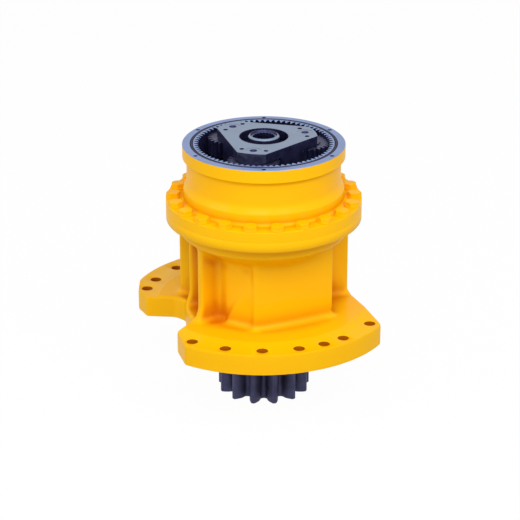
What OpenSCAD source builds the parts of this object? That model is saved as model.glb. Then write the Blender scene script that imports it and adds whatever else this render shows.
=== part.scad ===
// Swing gearbox of an excavator: two planetary stages in one ring gear, above
// a cast housing whose long output shaft carries the swing pinion.
// Millimetres, +Z up. The origin is on the output axis, in the face of the
// base flange that rests on the machine's upper frame. The front is -Y.

/* [Housing] */
// Height of the housing from its mounting face to the joint with the ring gear
housing_h = 256.5; // [250:0.5:266]
// Thickness of the base flange at its bolt land
base_t = 42; // [34:1:50]
// Height of the cast middle of the base flange above its bolt land
base_rise = 3; // [1:0.5:5]
// Radius of the base flange about its bolt circle's centre
base_r = 264; // [260:1:272]
// Radius of the raised middle of the base flange about the same centre
base_rise_r = 214; // [206:1:222]
// Radius of the round foot under the housing
foot_r = 157; // [155:1:160]
// Offset of the bolt circle's centre to the right of the output axis
base_off_x = -3; // [-6:1:3]
// Offset of the bolt circle's centre behind the output axis
base_off_y = 32; // [28:1:36]
// Distance from the base flange's bolt circle out to its edge
base_bolt_edge = 22; // [20:0.5:24]
// Radius of a bolt hole of the base flange
base_hole_r = 11; // [9:0.5:13]
// Radius of the locating spigot under the base flange
spigot_r = 130; // [128:1:140]
// Height of the locating spigot
spigot_h = 10; // [6:1:16]
// Outer radius of the bearing tube
tube_r = 108; // [104:1:112]
// Radius of the cove at the foot of the bearing tube
tube_foot = 14; // [8:1:18]
// Distance from the joint's bolt circle in to the side of the collar
collar_land = 12; // [11:0.5:15]
// Height of the collar's straight side under the joint flange
collar_h = 25.5; // [18:0.5:30]
// Height of the cone between bearing tube and collar
cone_h = 36; // [30:1:44]
// Distance from the output axis to the middle of the front wall
wall_dist = 112; // [110:1:116]
// Radius of the gentle crown of the front wall
wall_crown_r = 700; // [500:50:1200]
// Thickness of the front wall
wall_t = 26; // [20:1:32]
// Radius of the cove at the foot of the front wall
wall_foot = 12; // [8:1:16]
// Height of the slanted web beside the front wall
web_h = 82; // [60:2:100]
// Length of the slanted web along its foot
web_run = 64; // [58:1:66]
// Depth of the slanted web inside the bearing tube's surface
web_t = 14; // [10:1:18]
// Distance that the slanted web's face stands off the bearing tube
web_out = 6; // [3:0.5:9]
// Outer radius of the two broad rear ribs
broad_rib_r = 180; // [174:1:184]
// Thickness of the two broad rear ribs
broad_rib_t = 24; // [18:1:28]
// Outer radius of the slim ribs
slim_rib_r = 149; // [144:1:154]
// Thickness of the slim ribs
slim_rib_t = 17; // [12:1:20]

/* [Joint flange] */
// Distance that the joint flange stands out from the ring gear's wall
flange_land = 34.5; // [33.5:0.5:38]
// Thickness of each of the two flanges that are bolted together
flange_t = 21; // [18:1:26]
// Distance from the joint's bolt circle out to the edge of its flange
flange_bolt_edge = 14.5; // [14:0.5:16]
// Number of bolts round the joint flange
flange_bolt_n = 22; // [16:1:24]
// Radius of a joint bolt's shank
flange_bolt_d_r = 8; // [7:0.5:9]
// Width across the flats of a joint bolt's head
flange_bolt_af = 24; // [22:1:26]
// Height of a joint bolt's head
flange_bolt_head = 10; // [8:1:13]

/* [Ring gear] */
// Height of the ring gear above the joint
ring_h = 133; // [128:0.5:140]
// Outer radius of the lip at the top of the ring gear
lip_r = 159; // [157:0.5:162]
// Height of the lip
lip_h = 25; // [20:1:30]
// Outer radius of the waist under the lip
waist_r = 151; // [150:0.5:154]
// Outer radius of the wall above the flange
ring_wall_r = 158; // [157:0.5:160]
// Radius of the circle of tapped holes in the top face
motor_bolt_r = 150.5; // [149.5:0.5:152]
// Number of tapped holes in the top face
motor_bolt_n = 6; // [4:1:12]
// Radius of a tapped hole in the top face
motor_hole_r = 4.25; // [3.5:0.25:5]
// Depth of a tapped hole in the top face
motor_hole_h = 22; // [15:1:24]
// Radius of the seal groove in the top face
top_groove_r = 141; // [140.5:0.5:142]
// Thickness of the cord of the seal in the top face
top_cord = 3.4; // [3:0.2:4]

/* [Planetary gears] */
// Play between two teeth along the pitch circle
backlash = 0.45; // [0.4:0.05:0.6]
// Face width of the first planets
planet_1_w = 32; // [26:1:34]
// Face width of the second planets
planet_2_w = 46; // [40:1:48]
// Thickness of a thrust washer
washer_t = 2; // [1.5:0.5:2.5]
// Play of a planet between its thrust washers
planet_play = 0.2; // [0.1:0.05:0.4]
// Radius of a first planet's pin
pin_1_r = 15; // [13:0.5:16]
// Radius of a second planet's pin
pin_2_r = 16; // [14:0.5:17]
// Thickness of a needle roller round a first planet's pin
needle_1_d = 5; // [4:0.5:5]
// Thickness of a needle roller round a second planet's pin
needle_2_d = 6; // [5:0.5:6]
// Number of needle rollers round each pin
needle_n = 17; // [12:1:17]

/* [Carriers] */
// Height of the first carrier's top face above the ring gear
carrier_1_up = 13; // [10:0.5:16]
// Thickness of the first carrier's three-cornered plate
carrier_1_t = 18; // [14:1:20]
// Thickness of the first carrier's lower plate
carrier_1_low_t = 16; // [14:1:18]
// Radius of the first carrier's corners
carrier_1_r = 104; // [102:0.5:108]
// Distance from the axis to the straight sides of the first carrier
carrier_1_side = 74.5; // [72:0.5:78]
// Radius of the hole in the first carrier's plate
carrier_1_hole_r = 48; // [46:0.5:50]
// Turn of the first carrier's front corner from the front, to the left
carrier_1_turn = 13.6; // [0:0.1:30]
// Gap between the two carriers
carrier_gap = 3; // [2:0.5:4]
// Outer radius of the second carrier
carrier_2_r = 118; // [114:1:120]
// Thickness of the second carrier's upper plate
carrier_2_t = 14; // [12:1:16]
// Thickness of the second carrier's lower plate
carrier_2_low_t = 24; // [20:1:26]

/* [Sun gear input] */
// Radius of the first sun gear's collar
sun_collar_r = 30.6; // [29:0.2:31]
// Height of the collar above the first carrier's top face
sun_collar_up = 3.5; // [2:0.5:6]
// Inner radius of the splined bore for the motor shaft
input_r = 21; // [19:0.5:22]
// Depth of the splines in that bore
input_spline_h = 2; // [1.5:0.25:2.5]
// Number of splines in that bore
input_spline_n = 20; // [16:1:24]

/* [Pinion] */
// Module of the pinion
pinion_m = 12; // [11:0.5:12]
// Teeth of the pinion
pinion_z = 13; // [11:1:13]
// Profile shift of the pinion, in modules
pinion_shift = 0.2; // [0.1:0.05:0.3]
// Face width of the pinion
pinion_w = 98; // [80:1:99]
// Distance from the mounting face down to the pinion's lower end
pinion_drop = 133.5; // [132.5:0.5:145]
// Size of the bevel on the ends of the pinion's teeth
pinion_bevel = 5; // [2:0.5:8]

/* [Shaft and bearings] */
// Radius of the lower bearing's seat on the shaft
low_brg_in_r = 50; // [49:0.5:50.5]
// Outer radius of the lower bearing
low_brg_out_r = 90; // [88:0.5:91]
// Width of the lower bearing
low_brg_w = 46; // [42:1:48]
// Height of the lower bearing above the mounting face
low_brg_z = 26; // [24:1:30]
// Radius of the upper bearing's seat on the shaft
up_brg_in_r = 45; // [44:0.5:45.5]
// Outer radius of the upper bearing
up_brg_out_r = 80; // [79:0.5:82]
// Width of the upper bearing
up_brg_w = 40; // [36:1:42]
// Height of the upper bearing above the mounting face
up_brg_z = 148; // [144:1:150]
// Number of rollers in each bearing
roller_n = 15; // [12:1:15]
// Thickness of the shaft nut
nut_t = 14; // [11:1:14]
// Radius of the shaft nut
nut_r = 62; // [60:0.5:66]
// Outer radius of the shaft's splines for the second carrier
shaft_spline_r = 42; // [41:0.5:43]
// Number of the shaft's splines
shaft_spline_n = 26; // [20:1:30]

/* [Seals] */
// Radius of the wear sleeve that the shaft seal runs on
sleeve_r = 62; // [61:0.5:64]
// Outer radius of the shaft seal
seal_r = 78; // [76:0.5:79]
// Thickness of the seal cover's flange
cover_t = 12; // [10:1:13]
// Outer radius of the seal cover
cover_r = 118; // [116:1:122]
// Radius of the seal cover's bolt circle
cover_bolt_r = 105; // [104:0.5:107]
// Number of the seal cover's bolts
cover_bolt_n = 8; // [6:1:10]
// Play between pieces that slide into each other
slip = 0.1; // [0.05:0.05:0.15]

/* [Hidden] */
$fn = 96;
eps = 0.5;
// Tooth system: one ring gear serves both stages, so the module and the
// tooth counts are chosen together
gear_m = 3.5;
ring_z = 75;
sun_1_z = 21;
sun_2_z = 25;
pressure_angle = 20;
flank_steps = 4;
housing_paint = [0.99, 0.72, 0.02];
machined = [0.62, 0.66, 0.72];
dark_steel = [0.29, 0.29, 0.38];
gear_steel = [0.45, 0.48, 0.56];
black_rubber = [0.06, 0.06, 0.07];
bronze = [0.72, 0.52, 0.28];

// Bolt circles and flanges that follow the sizes above
base_bolt_r = base_r - base_bolt_edge;
flange_r = ring_wall_r + flange_land;
flange_bolt_r = flange_r - flange_bolt_edge;
collar_r = flange_bolt_r - collar_land;
edge_bevel = 1.5;
collar_corner = 6;
hole_bevel = 1;

// Corners of the base flange's front and rear lobes, drawn for a flange of
// the radius drawn_base_r and scaled to the one that is wanted
drawn_base_r = 264;
rear_lobe_more = 6;
front_lobe = [
    [-149, -87], [-170, -124], [-152, -186], [-152, -300], [231, -300], [231, -88],
    [203, -4], [175, 62], [166, 88], [110, 112], [0, 60], [-120, 0]
];
rear_lobe = [
    [-150, 0], [-163, 22], [-180, 36], [-238, 41], [-257, 80], [-257, 330], [124, 330],
    [124, 200], [96, 124], [0, 60]
];

// Angles of the base bolts about the bolt circle's centre, from the front
base_bolt_angles = [
    -34, -17, 0, 17, 29.5, 40.5, 61,
    -103, -114.5, -132, -149, -166, -183, -200
];
// Directions of the slim ribs and of the broad ribs, from the front
slim_rib_angles = [-58, -91, -146, 180, 146];
broad_rib_angles = [-112, 112];
// Direction that the front wall faces, its two ends along the wall, and how
// far the ends of its back lie inside them
wall_turn = 25;
wall_left = -72;
wall_right = 101;
wall_left_in = 6;
wall_right_in = 12;
wall_right_t = 57;
wall_root = 20;
// Direction that the slanted web faces, its right end, the height of its
// foot, the shares of its length that its top and its shoulder take, and the
// shoulder's height
web_turn = -28;
web_right = 42;
web_foot_h = 14;
web_slope = 0.42;
web_shoulder = 0.36;
web_shoulder_h = 24;
// Depth of a rib's root in the bearing tube, and the flare of a slim rib's foot
rib_root = 12;
rib_flare = 10;

// Heights of the housing and the ring gear
joint_z = housing_h;
ring_top = joint_z + ring_h;
flange_under_z = joint_z - flange_t;
collar_z = flange_under_z - collar_h;
cone_z = collar_z - cone_h;
register_h = 6;
register_r = 144;
relief_h = 8;
chamber_r = 138;
chamber_z = collar_z + 2;
// Ring gear: its wall above the flange, the taper to its waist, the cove
// under its lip and the play round its tooth spaces
wall_up = flange_t + 25.5;
wall_corner = 7;
taper_h = 15;
cove_r = 11;
lip_z = ring_top - lip_h;
ring_root = 1.22;
// Plugs at the back: the drain in the collar, the level plug in the ring gear
plug_r = 9;
plug_af = 22;
plug_head_h = 9;
plug_washer_r = 14.5;
plug_washer_t = 2;
plug_spot_r = 16;
plug_spot_h = 1.5;
plug_bore = 60;
drain_turn = 163;
drain_z = collar_z + 13;
drain_reach = 20;
level_turn = 180;
level_z = joint_z + flange_t + 16;
level_reach = 14;
// Dowels and seal groove of the joint
dowel_r = 4;
dowel_h = 18;
dowel_ring_r = 163;
joint_groove_r = 149.5;
joint_groove_w = 5;
joint_cord = 4.4;

// Pitch radii, centre distances and numbers of teeth
planet_1_z = (ring_z - sun_1_z) / 2;
planet_2_z = (ring_z - sun_2_z) / 2;
arm_1 = gear_m * (sun_1_z + planet_1_z) / 2;
arm_2 = gear_m * (sun_2_z + planet_2_z) / 2;
tip_1_r = gear_m * (planet_1_z / 2 + 1);
tip_2_r = gear_m * (planet_2_z / 2 + 1);
sun_1_tip_r = gear_m * (sun_1_z / 2 + 1);
sun_2_tip_r = gear_m * (sun_2_z / 2 + 1);
pinion_tip_r = pinion_m * (pinion_z / 2 + 1 + pinion_shift);
// Directions of the planets, in degrees from +X
planet_1_angles = [for (k = [0:2]) -90 - carrier_1_turn + 120 * k];
planet_2_angles = [for (k = [0:3]) 40 + 90 * k];

// Stack of the two stages, from the top down
carrier_1_top = ring_top + carrier_1_up;
plate_1_z = carrier_1_top - carrier_1_t;
planet_1_top = plate_1_z - washer_t - planet_play;
planet_1_low = planet_1_top - planet_1_w;
low_1_top = planet_1_low - planet_play - washer_t;
low_1_z = low_1_top - carrier_1_low_t;
carrier_2_top = low_1_z - carrier_gap;
plate_2_z = carrier_2_top - carrier_2_t;
planet_2_top = plate_2_z - washer_t - planet_play;
planet_2_low = planet_2_top - planet_2_w;
low_2_top = planet_2_low - planet_play - washer_t;
low_2_z = low_2_top - carrier_2_low_t;

// Stack on the output shaft, from the bottom up
pinion_z0 = -pinion_drop;
pinion_z1 = pinion_z0 + pinion_w;
sleeve_z = -spigot_h - cover_t;
low_brg_top = low_brg_z + low_brg_w;
up_brg_top = up_brg_z + up_brg_w;
lock_washer_t = 2;
nut_z = up_brg_top + lock_washer_t;
hub_z = nut_z + nut_t + 2;
end_plate_t = 8;
end_plate_r = 55;
end_screw_head = 3;
end_screw_head_r = 8.5;
end_screw_r = 5;
end_screw_h = 22;
end_screw_ring_r = 24;
shaft_top = low_2_top - end_plate_t - end_screw_head - 1;
nut_slot_w = 10;
nut_slot_h = 5;
// Seal cover: its screws, its groove and the shaft seal in it
cover_screw_r = 5;
cover_screw_h = 30;
cover_screw_af = 16;
cover_screw_head = 6.4;
cover_bolt_turn = 22.5;
cover_groove_r = 95;
cover_groove_w = 4;
cover_cord = 3;
seal_z = sleeve_z + 1;
seal_h = 13;
sleeve_in_r = low_brg_in_r + 2;
// Tapered rollers: lean of their axes, half their own taper, the rib behind
// them, and how much shorter than the bearing they are
roller_lean = 12;
roller_half = 2;
roller_rib = 4;
roller_short = 16;
// Small pieces of the two stages
spring_pin_r = 3;
pin_dimple_h = 3;
sun_2_spline_r = 30;
sun_2_spline_n = 20;
sun_2_bore_r = 12;
sun_2_stub_r = sun_2_spline_r - 4;
sun_2_ring_t = 2.2;
washer_1_land = 15;
washer_2_land = 16;
carrier_1_hub_h = 15;
carrier_1_hub_t = 11;
sun_2_top = low_1_top + 3.5;
sun_1_low = sun_2_top + 0.3;
sun_1_top = carrier_1_top + sun_collar_up;
sun_collar_bevel = 3.5;
puller_turn = 16.5;
puller_r = 4.6;
puller_h = 14;

// Helpers for directions measured from the front, to the right
module facing(a) {
    rotate([0, 0, a - 90]) children();
}
module ring_of(n, r, first = 0) {
    for (k = [0:n - 1])
        facing(first + 360 * k / n) translate([r, 0, 0]) children();
}
module tube(r_out, r_in, h) {
    difference() {
        cylinder(r = r_out, h = h);
        translate([0, 0, -eps]) cylinder(r = r_in, h = h + 2 * eps);
    }
}

// Cutter for a bore of the depth h whose upper edge is bevelled
module bevelled_bore(r, h) {
    cylinder(r = r, h = h + eps);
    translate([0, 0, h - hole_bevel])
        cylinder(r1 = r, r2 = r + hole_bevel + eps, h = hole_bevel + eps);
}

// Involute profiles. A profile's tooth stands on +X, with the half angle
// half at the pitch radius, and goes from the radius r_in out to r_out.
function involute(a) = tan(a) * 180 / PI - a;
function base_r_of(m, z) = m * z / 2 * cos(pressure_angle);
function flank_angle(rho, m, z, half) =
    half + involute(pressure_angle) - involute(acos(min(1, base_r_of(m, z) / rho)));
function flank_radii(m, z, r_in, r_out) =
    let (r0 = max(r_in, base_r_of(m, z) + 0.01))
    [for (i = [0:flank_steps]) r0 + (r_out - r0) * pow(i / flank_steps, 1.3)];
function polar(r, a) = [r * cos(a), r * sin(a)];
function tooth(m, z, r_in, r_out, half) =
    let (radii = flank_radii(m, z, r_in, r_out))
    concat(
        r_in < radii[0] ? [polar(r_in, -flank_angle(radii[0], m, z, half) * 1.05)] : [],
        [for (rho = radii) polar(rho, -flank_angle(rho, m, z, half))],
        [for (i = [flank_steps:-1:0]) polar(radii[i], flank_angle(radii[i], m, z, half))],
        r_in < radii[0] ? [polar(r_in, flank_angle(radii[0], m, z, half) * 1.05)] : []
    );
function turned(pts, a) =
    [for (p = pts) [p[0] * cos(a) - p[1] * sin(a), p[0] * sin(a) + p[1] * cos(a)]];
function gear_outline(m, z, r_in, r_out, half) =
    let (one = tooth(m, z, r_in, r_out, half))
    [for (k = [0:z - 1]) each turned(one, 360 * k / z)];
// Half angle of a tooth at the pitch circle, thinned by half the play
function half_tooth(m, z, shift, play) =
    90 / z + (2 * shift * tan(pressure_angle) / z - play / 2 / (m * z / 2)) * 180 / PI;
module spur(m, z, shift = 0, play = backlash / 2) {
    polygon(gear_outline(m, z, m * (z / 2 - 1.25 + shift), m * (z / 2 + 1 + shift),
        half_tooth(m, z, shift, play)));
}
module ring_space() {
    polygon(gear_outline(gear_m, ring_z, gear_m * (ring_z / 2 - 1),
        gear_m * (ring_z / 2 + ring_root), half_tooth(gear_m, ring_z, 0, -backlash / 2)));
}
// Turn of a planet at direction a, and of the sun that meshes with it
function planet_turn(a, z) = a - ring_z * a / z;
function sun_turn(a, z_sun, z) = a + (180 - z * (planet_turn(a, z) - a - 180)) / z_sun;
// Straight-sided splines between two radii; a bore's are wider by the play
module splines(n, r_in, r_out, play = 0) {
    half = 90 / n;
    grow = play * 180 / PI / r_out;
    polygon([for (k = [0:n - 1]) each turned([
        polar(r_in + play, -half * 1.25 - grow), polar(r_out + play, -half * 0.75 - grow),
        polar(r_out + play, half * 0.75 + grow), polar(r_in + play, half * 1.25 + grow)
    ], 360 * k / n)]);
}

// Base flange: outline of both lobes, seen from above
module base_outline() {
    circle(r = foot_r);
    intersection() {
        translate([base_off_x, base_off_y]) circle(r = base_r, $fn = 180);
        polygon(base_r / drawn_base_r * front_lobe);
    }
    intersection() {
        translate([base_off_x, base_off_y + rear_lobe_more])
            circle(r = base_r + rear_lobe_more, $fn = 180);
        polygon(base_r / drawn_base_r * rear_lobe);
    }
}
module base_flange() {
    linear_extrude(base_t) base_outline();
    linear_extrude(base_t + base_rise) intersection() {
        base_outline();
        translate([base_off_x, base_off_y]) circle(r = base_rise_r, $fn = 180);
    }
    translate([0, 0, -spigot_h]) cylinder(r = spigot_r, h = spigot_h + eps);
}

// Front wall: a crowned face whose two sides run back to the bearing tube
module wall_strip() {
    facing(wall_turn) intersection() {
        polygon([
            [wall_root, wall_left + wall_left_in], [wall_dist - wall_t, wall_left + wall_left_in],
            [wall_dist + wall_root, wall_left], [wall_dist + wall_root, wall_right],
            [wall_dist - wall_right_t, wall_right - wall_right_in],
            [wall_root, wall_right - wall_right_in]
        ]);
        translate([wall_dist - wall_crown_r, (wall_left + wall_right) / 2])
            circle(r = wall_crown_r, $fn = 360);
    }
}
module front_wall() {
    linear_extrude(collar_z + 8) wall_strip();
    facing(wall_turn) intersection() {
        translate([wall_dist - wall_crown_r, (wall_left + wall_right) / 2, 0]) rotate_extrude($fn = 360)
            foot_cove(wall_crown_r, wall_foot);
        translate([0, wall_left, 0]) cube([2 * wall_dist, wall_right - wall_left, joint_z]);
    }
}
// Half section of a cove of radius c at the foot of a wall of radius r
module foot_cove(r, c) {
    difference() {
        translate([r - c, base_t]) square([2 * c, base_rise + c]);
        translate([r + c, base_t + base_rise + c]) circle(r = c, $fn = 48);
    }
}
// Slanted web that ties the front wall's left edge to the bearing tube: a
// flat face with a sloping left edge, and a bevelled shoulder on its top
module wall_web() {
    z_top = base_t + web_h;
    z_shoulder = z_top + web_shoulder_h;
    facing(web_turn) {
        translate([tube_r - web_t, 0, 0]) rotate([90, 0, 90]) linear_extrude(web_t + web_out) polygon([
            [web_right - web_run, base_t], [web_right, base_t], [web_right, z_top],
            [web_right - web_run * web_slope, z_top], [web_right - web_run, base_t + web_foot_h]
        ]);
        translate([0, web_right, 0]) rotate([90, 0, 0]) linear_extrude(web_run * web_shoulder) polygon([
            [tube_r - web_t, z_top - eps], [tube_r + web_out, z_top - eps], [tube_r + web_out, z_top],
            [tube_r + eps, z_shoulder], [tube_r - web_t, z_shoulder]
        ]);
    }
}

// A rib on the bearing tube, standing out in the direction a
module rib(a, r, t, top) {
    facing(a) translate([tube_r - rib_root, -t / 2, base_t - eps])
        cube([r - tube_r + rib_root, t, top - base_t + eps]);
}
// The flared foot of such a rib
module rib_foot(a, r, t) {
    top = base_t + base_rise + 3 * rib_flare;
    facing(a) rotate([90, 0, 0]) translate([0, 0, -t / 2]) linear_extrude(t) polygon([
        [r - 2 * rib_flare, base_t], [r + rib_flare * 0.8, base_t], [r, top], [r - 2 * rib_flare, top]
    ]);
}
module slim_ribs() {
    for (a = slim_rib_angles) {
        rib(a, slim_rib_r, slim_rib_t, collar_z + 4);
        rib_foot(a, slim_rib_r - 1, slim_rib_t);
    }
}
module broad_ribs() {
    for (a = broad_rib_angles) rib(a, broad_rib_r, broad_rib_t, flange_under_z + eps);
}

// Bearing tube, cone, collar and joint flange, as one turned form
module casting_core() {
    rotate_extrude() {
        polygon([
            [0, base_t - eps], [tube_r, base_t - eps], [tube_r, cone_z], [collar_r, collar_z],
            [collar_r, flange_under_z - collar_corner], [collar_r + collar_corner, flange_under_z],
            [flange_r - edge_bevel, flange_under_z], [flange_r, flange_under_z + edge_bevel],
            [flange_r, joint_z], [0, joint_z]
        ]);
        foot_cove(tube_r, tube_foot);
    }
}
// Everything that is bored out on the output axis
module casting_bores() {
    b = low_brg_out_r;
    u = up_brg_out_r;
    rotate_extrude() polygon([
        [0, -spigot_h - eps], [b, -spigot_h - eps], [b, low_brg_top], [b - 8, low_brg_top],
        [b - 8, low_brg_top + 6], [b - 3, low_brg_top + 11], [b - 3, up_brg_z - 14],
        [u - 7, up_brg_z - 8], [u - 7, up_brg_z], [u, up_brg_z], [u, up_brg_top + 2],
        [u + 5, up_brg_top + 7], [chamber_r - 20, chamber_z], [chamber_r, chamber_z + 12],
        [chamber_r, joint_z - register_h - slip], [register_r + slip, joint_z - register_h - slip],
        [register_r + slip, joint_z + eps], [0, joint_z + eps]
    ]);
}
// A groove for a seal, cut down from the height z
module groove(r, w, cord, z) {
    translate([0, 0, z - cord]) tube(r + w / 2, r - w / 2, cord + eps);
}
// The bore and the spot face of a plug
module plug_hole(turn, r_face, z, reach) {
    translate([0, 0, z]) facing(turn) rotate([0, 90, 0]) {
        translate([0, 0, r_face - reach - eps])
            cylinder(r = plug_r + slip / 2, h = plug_bore, $fn = 32);
        translate([0, 0, r_face]) cylinder(r = plug_spot_r, h = plug_bore / 3, $fn = 32);
    }
}

module main_housing() {
    color(housing_paint) difference() {
        union() {
            base_flange();
            casting_core();
            front_wall();
            wall_web();
            slim_ribs();
            broad_ribs();
        }
        casting_bores();
        for (a = base_bolt_angles)
            translate([base_off_x, base_off_y, -eps]) facing(a) translate([base_bolt_r, 0, 0])
                bevelled_bore(base_hole_r, base_t + eps, $fn = 32);
        translate([0, 0, flange_under_z - eps]) ring_of(flange_bolt_n, flange_bolt_r, 180 / flange_bolt_n)
            cylinder(r = flange_bolt_d_r + slip, h = flange_t + 2 * eps, $fn = 24);
        translate([0, 0, joint_z - dowel_h / 2 - slip]) ring_of(2, dowel_ring_r, 90)
            cylinder(r = dowel_r + slip / 2, h = dowel_h, $fn = 24);
        groove(joint_groove_r, joint_groove_w, joint_cord, joint_z);
        translate([0, 0, -spigot_h - eps]) ring_of(cover_bolt_n, cover_bolt_r, cover_bolt_turn)
            cylinder(r = cover_screw_r + slip / 2, h = cover_screw_h - cover_t + 2 + eps, $fn = 24);
        plug_hole(drain_turn, collar_r - plug_spot_h, drain_z, collar_r - chamber_r + 2 * plug_spot_r / 3);
    }
}

// Outside of the ring gear: flange, tapered wall, waist, cove and lip
module ring_outline() {
    difference() {
        polygon([
            [0, joint_z - register_h], [register_r, joint_z - register_h], [register_r, joint_z],
            [flange_r, joint_z], [flange_r, joint_z + flange_t - edge_bevel],
            [flange_r - edge_bevel, joint_z + flange_t], [ring_wall_r + wall_corner, joint_z + flange_t],
            [ring_wall_r, joint_z + flange_t + wall_corner], [ring_wall_r + 0.5, joint_z + wall_up],
            [waist_r, joint_z + wall_up + taper_h], [waist_r, lip_z - cove_r],
            [lip_r, lip_z - cove_r], [lip_r, ring_top - 1], [lip_r - 1, ring_top], [0, ring_top]
        ]);
        translate([waist_r + cove_r, lip_z - cove_r]) circle(r = cove_r);
    }
}
module ring_gear() {
    color(housing_paint) difference() {
        rotate_extrude() ring_outline();
        translate([0, 0, joint_z + relief_h]) linear_extrude(ring_h) ring_space();
        translate([0, 0, joint_z - register_h - eps])
            cylinder(r = gear_m * (ring_z / 2 + ring_root) + 0.4, h = register_h + relief_h + 2 * eps);
        translate([0, 0, joint_z - eps]) ring_of(flange_bolt_n, flange_bolt_r, 180 / flange_bolt_n)
            cylinder(r = flange_bolt_d_r + 1, h = flange_t + 2 * eps, $fn = 24);
        translate([0, 0, joint_z - dowel_h / 2]) ring_of(2, dowel_ring_r, 90)
            cylinder(r = dowel_r + slip / 2, h = dowel_h + slip, $fn = 24);
        groove(top_groove_r, top_cord + 0.8, top_cord + slip, ring_top);
        translate([0, 0, ring_top - motor_hole_h]) ring_of(motor_bolt_n, motor_bolt_r)
            cylinder(r = motor_hole_r, h = motor_hole_h + eps, $fn = 24);
        plug_hole(level_turn, ring_wall_r - plug_spot_h, level_z, ring_wall_r - gear_m * ring_z / 2);
    }
}

// Hexagon bolt, its head's seat at z = 0 and its shank below
module hex_bolt(r, length, af, head, washer = 0) {
    translate([0, 0, washer]) intersection() {
        cylinder(r = af / 2 / cos(30), h = head - washer, $fn = 6);
        cylinder(r1 = af, r2 = af / 2 * 1.02, h = head - washer);
    }
    if (washer > 0) cylinder(r = af / 2 * 1.22, h = washer, $fn = 32);
    translate([0, 0, -length]) cylinder(r = r, h = length + eps, $fn = 24);
}
module flange_bolts() {
    color(housing_paint) translate([0, 0, joint_z + flange_t])
        ring_of(flange_bolt_n, flange_bolt_r, 180 / flange_bolt_n)
            hex_bolt(flange_bolt_d_r, 2 * flange_t - 2, flange_bolt_af, flange_bolt_head, 2.5);
}
module flange_dowels() {
    color(gear_steel) translate([0, 0, joint_z - dowel_h / 2]) ring_of(2, dowel_ring_r, 90)
        cylinder(r = dowel_r, h = dowel_h, $fn = 24);
}
module cord_ring(r, cord, z) {
    color(black_rubber) translate([0, 0, z]) rotate_extrude()
        translate([r, 0]) circle(r = cord / 2, $fn = 24);
}
module joint_o_ring() {
    cord_ring(joint_groove_r, joint_cord - 2 * slip, joint_z - joint_cord / 2 + slip / 2);
}
module top_o_ring() {
    cord_ring(top_groove_r, top_cord, ring_top - top_cord / 2);
}

// Seal cover under the housing, its hub holding the lower bearing
module seal_cover() {
    color(housing_paint) difference() {
        rotate_extrude() polygon([
            [seal_r, sleeve_z], [cover_r - edge_bevel, sleeve_z], [cover_r, sleeve_z + edge_bevel],
            [cover_r, -spigot_h], [low_brg_out_r - slip, -spigot_h],
            [low_brg_out_r - slip, low_brg_z - slip], [low_brg_out_r - 12, low_brg_z - slip],
            [seal_r - 6, low_brg_z - 12], [seal_r - 6, seal_z + seal_h], [seal_r, seal_z + seal_h]
        ]);
        translate([0, 0, sleeve_z - eps]) ring_of(cover_bolt_n, cover_bolt_r, cover_bolt_turn)
            cylinder(r = cover_screw_r + 0.5, h = cover_t + 2 * eps, $fn = 24);
        groove(cover_groove_r, cover_groove_w, cover_cord, -spigot_h);
    }
}
module cover_o_ring() {
    cord_ring(cover_groove_r, cover_cord - 2 * slip, -spigot_h - cover_cord / 2);
}
module seal_cover_bolts() {
    color(housing_paint) translate([0, 0, sleeve_z]) mirror([0, 0, 1])
        ring_of(cover_bolt_n, cover_bolt_r, cover_bolt_turn)
            hex_bolt(cover_screw_r, cover_screw_h, cover_screw_af, cover_screw_head);
}
module shaft_seal() {
    color(black_rubber) rotate_extrude() polygon([
        [seal_r - slip / 2, seal_z], [seal_r - slip / 2, seal_z + seal_h - slip],
        [seal_r - 2.5, seal_z + seal_h - slip], [seal_r - 2.5, seal_z + 3],
        [sleeve_r + 5, seal_z + 3], [sleeve_r + 4, seal_z + seal_h - 2],
        [sleeve_r + slip, seal_z + seal_h - 4], [sleeve_r + 2.5, seal_z + 2.5],
        [sleeve_r + slip, seal_z + 1], [sleeve_r + 1, seal_z]
    ]);
}
module wear_sleeve() {
    color(gear_steel) translate([0, 0, sleeve_z]) tube(sleeve_r, sleeve_in_r, low_brg_z - sleeve_z);
}

// Tapered roller bearing, its cones' common point on the axis. r_in and
// r_out are its seats, w its width, up is 1 where it opens upwards or -1.
function brg_mid(r_in, r_out) = (r_in + r_out) / 2;
function brg_reach(r_in, r_out) = brg_mid(r_in, r_out) / sin(roller_lean);
function roller_len(w) = w - roller_short;
// Radius of a raceway at height z over the bearing's middle
function race_r(r_in, r_out, z, lean) =
    (z + brg_reach(r_in, r_out) * cos(roller_lean)) * tan(lean);
module brg_place(z, w, up) {
    translate([0, 0, z + w / 2]) mirror([0, 0, up > 0 ? 0 : 1]) children();
}
module brg_cup(r_in, r_out, w) {
    lean = roller_lean + roller_half;
    rotate_extrude() polygon([
        [race_r(r_in, r_out, -w / 2 + 3, lean), -w / 2 + 3], [r_out, -w / 2 + 3], [r_out, w / 2],
        [race_r(r_in, r_out, w / 2, lean), w / 2]
    ]);
}
module brg_cone(r_in, r_out, w) {
    lean = roller_lean - roller_half;
    z_end = roller_len(w) / 2 + 3.6;
    z_low = -roller_len(w) / 2 - 3.6;
    rotate_extrude() polygon([
        [r_in, -w / 2], [race_r(r_in, r_out, z_low, lean) + 2, -w / 2],
        [race_r(r_in, r_out, z_low, lean) + 2, z_low], [race_r(r_in, r_out, z_low, lean), z_low],
        [race_r(r_in, r_out, z_end, lean), z_end],
        [race_r(r_in, r_out, z_end, lean) + roller_rib, z_end],
        [race_r(r_in, r_out, z_end, lean) + roller_rib, w / 2 - 1], [r_in, w / 2 - 1]
    ]);
}
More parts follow.
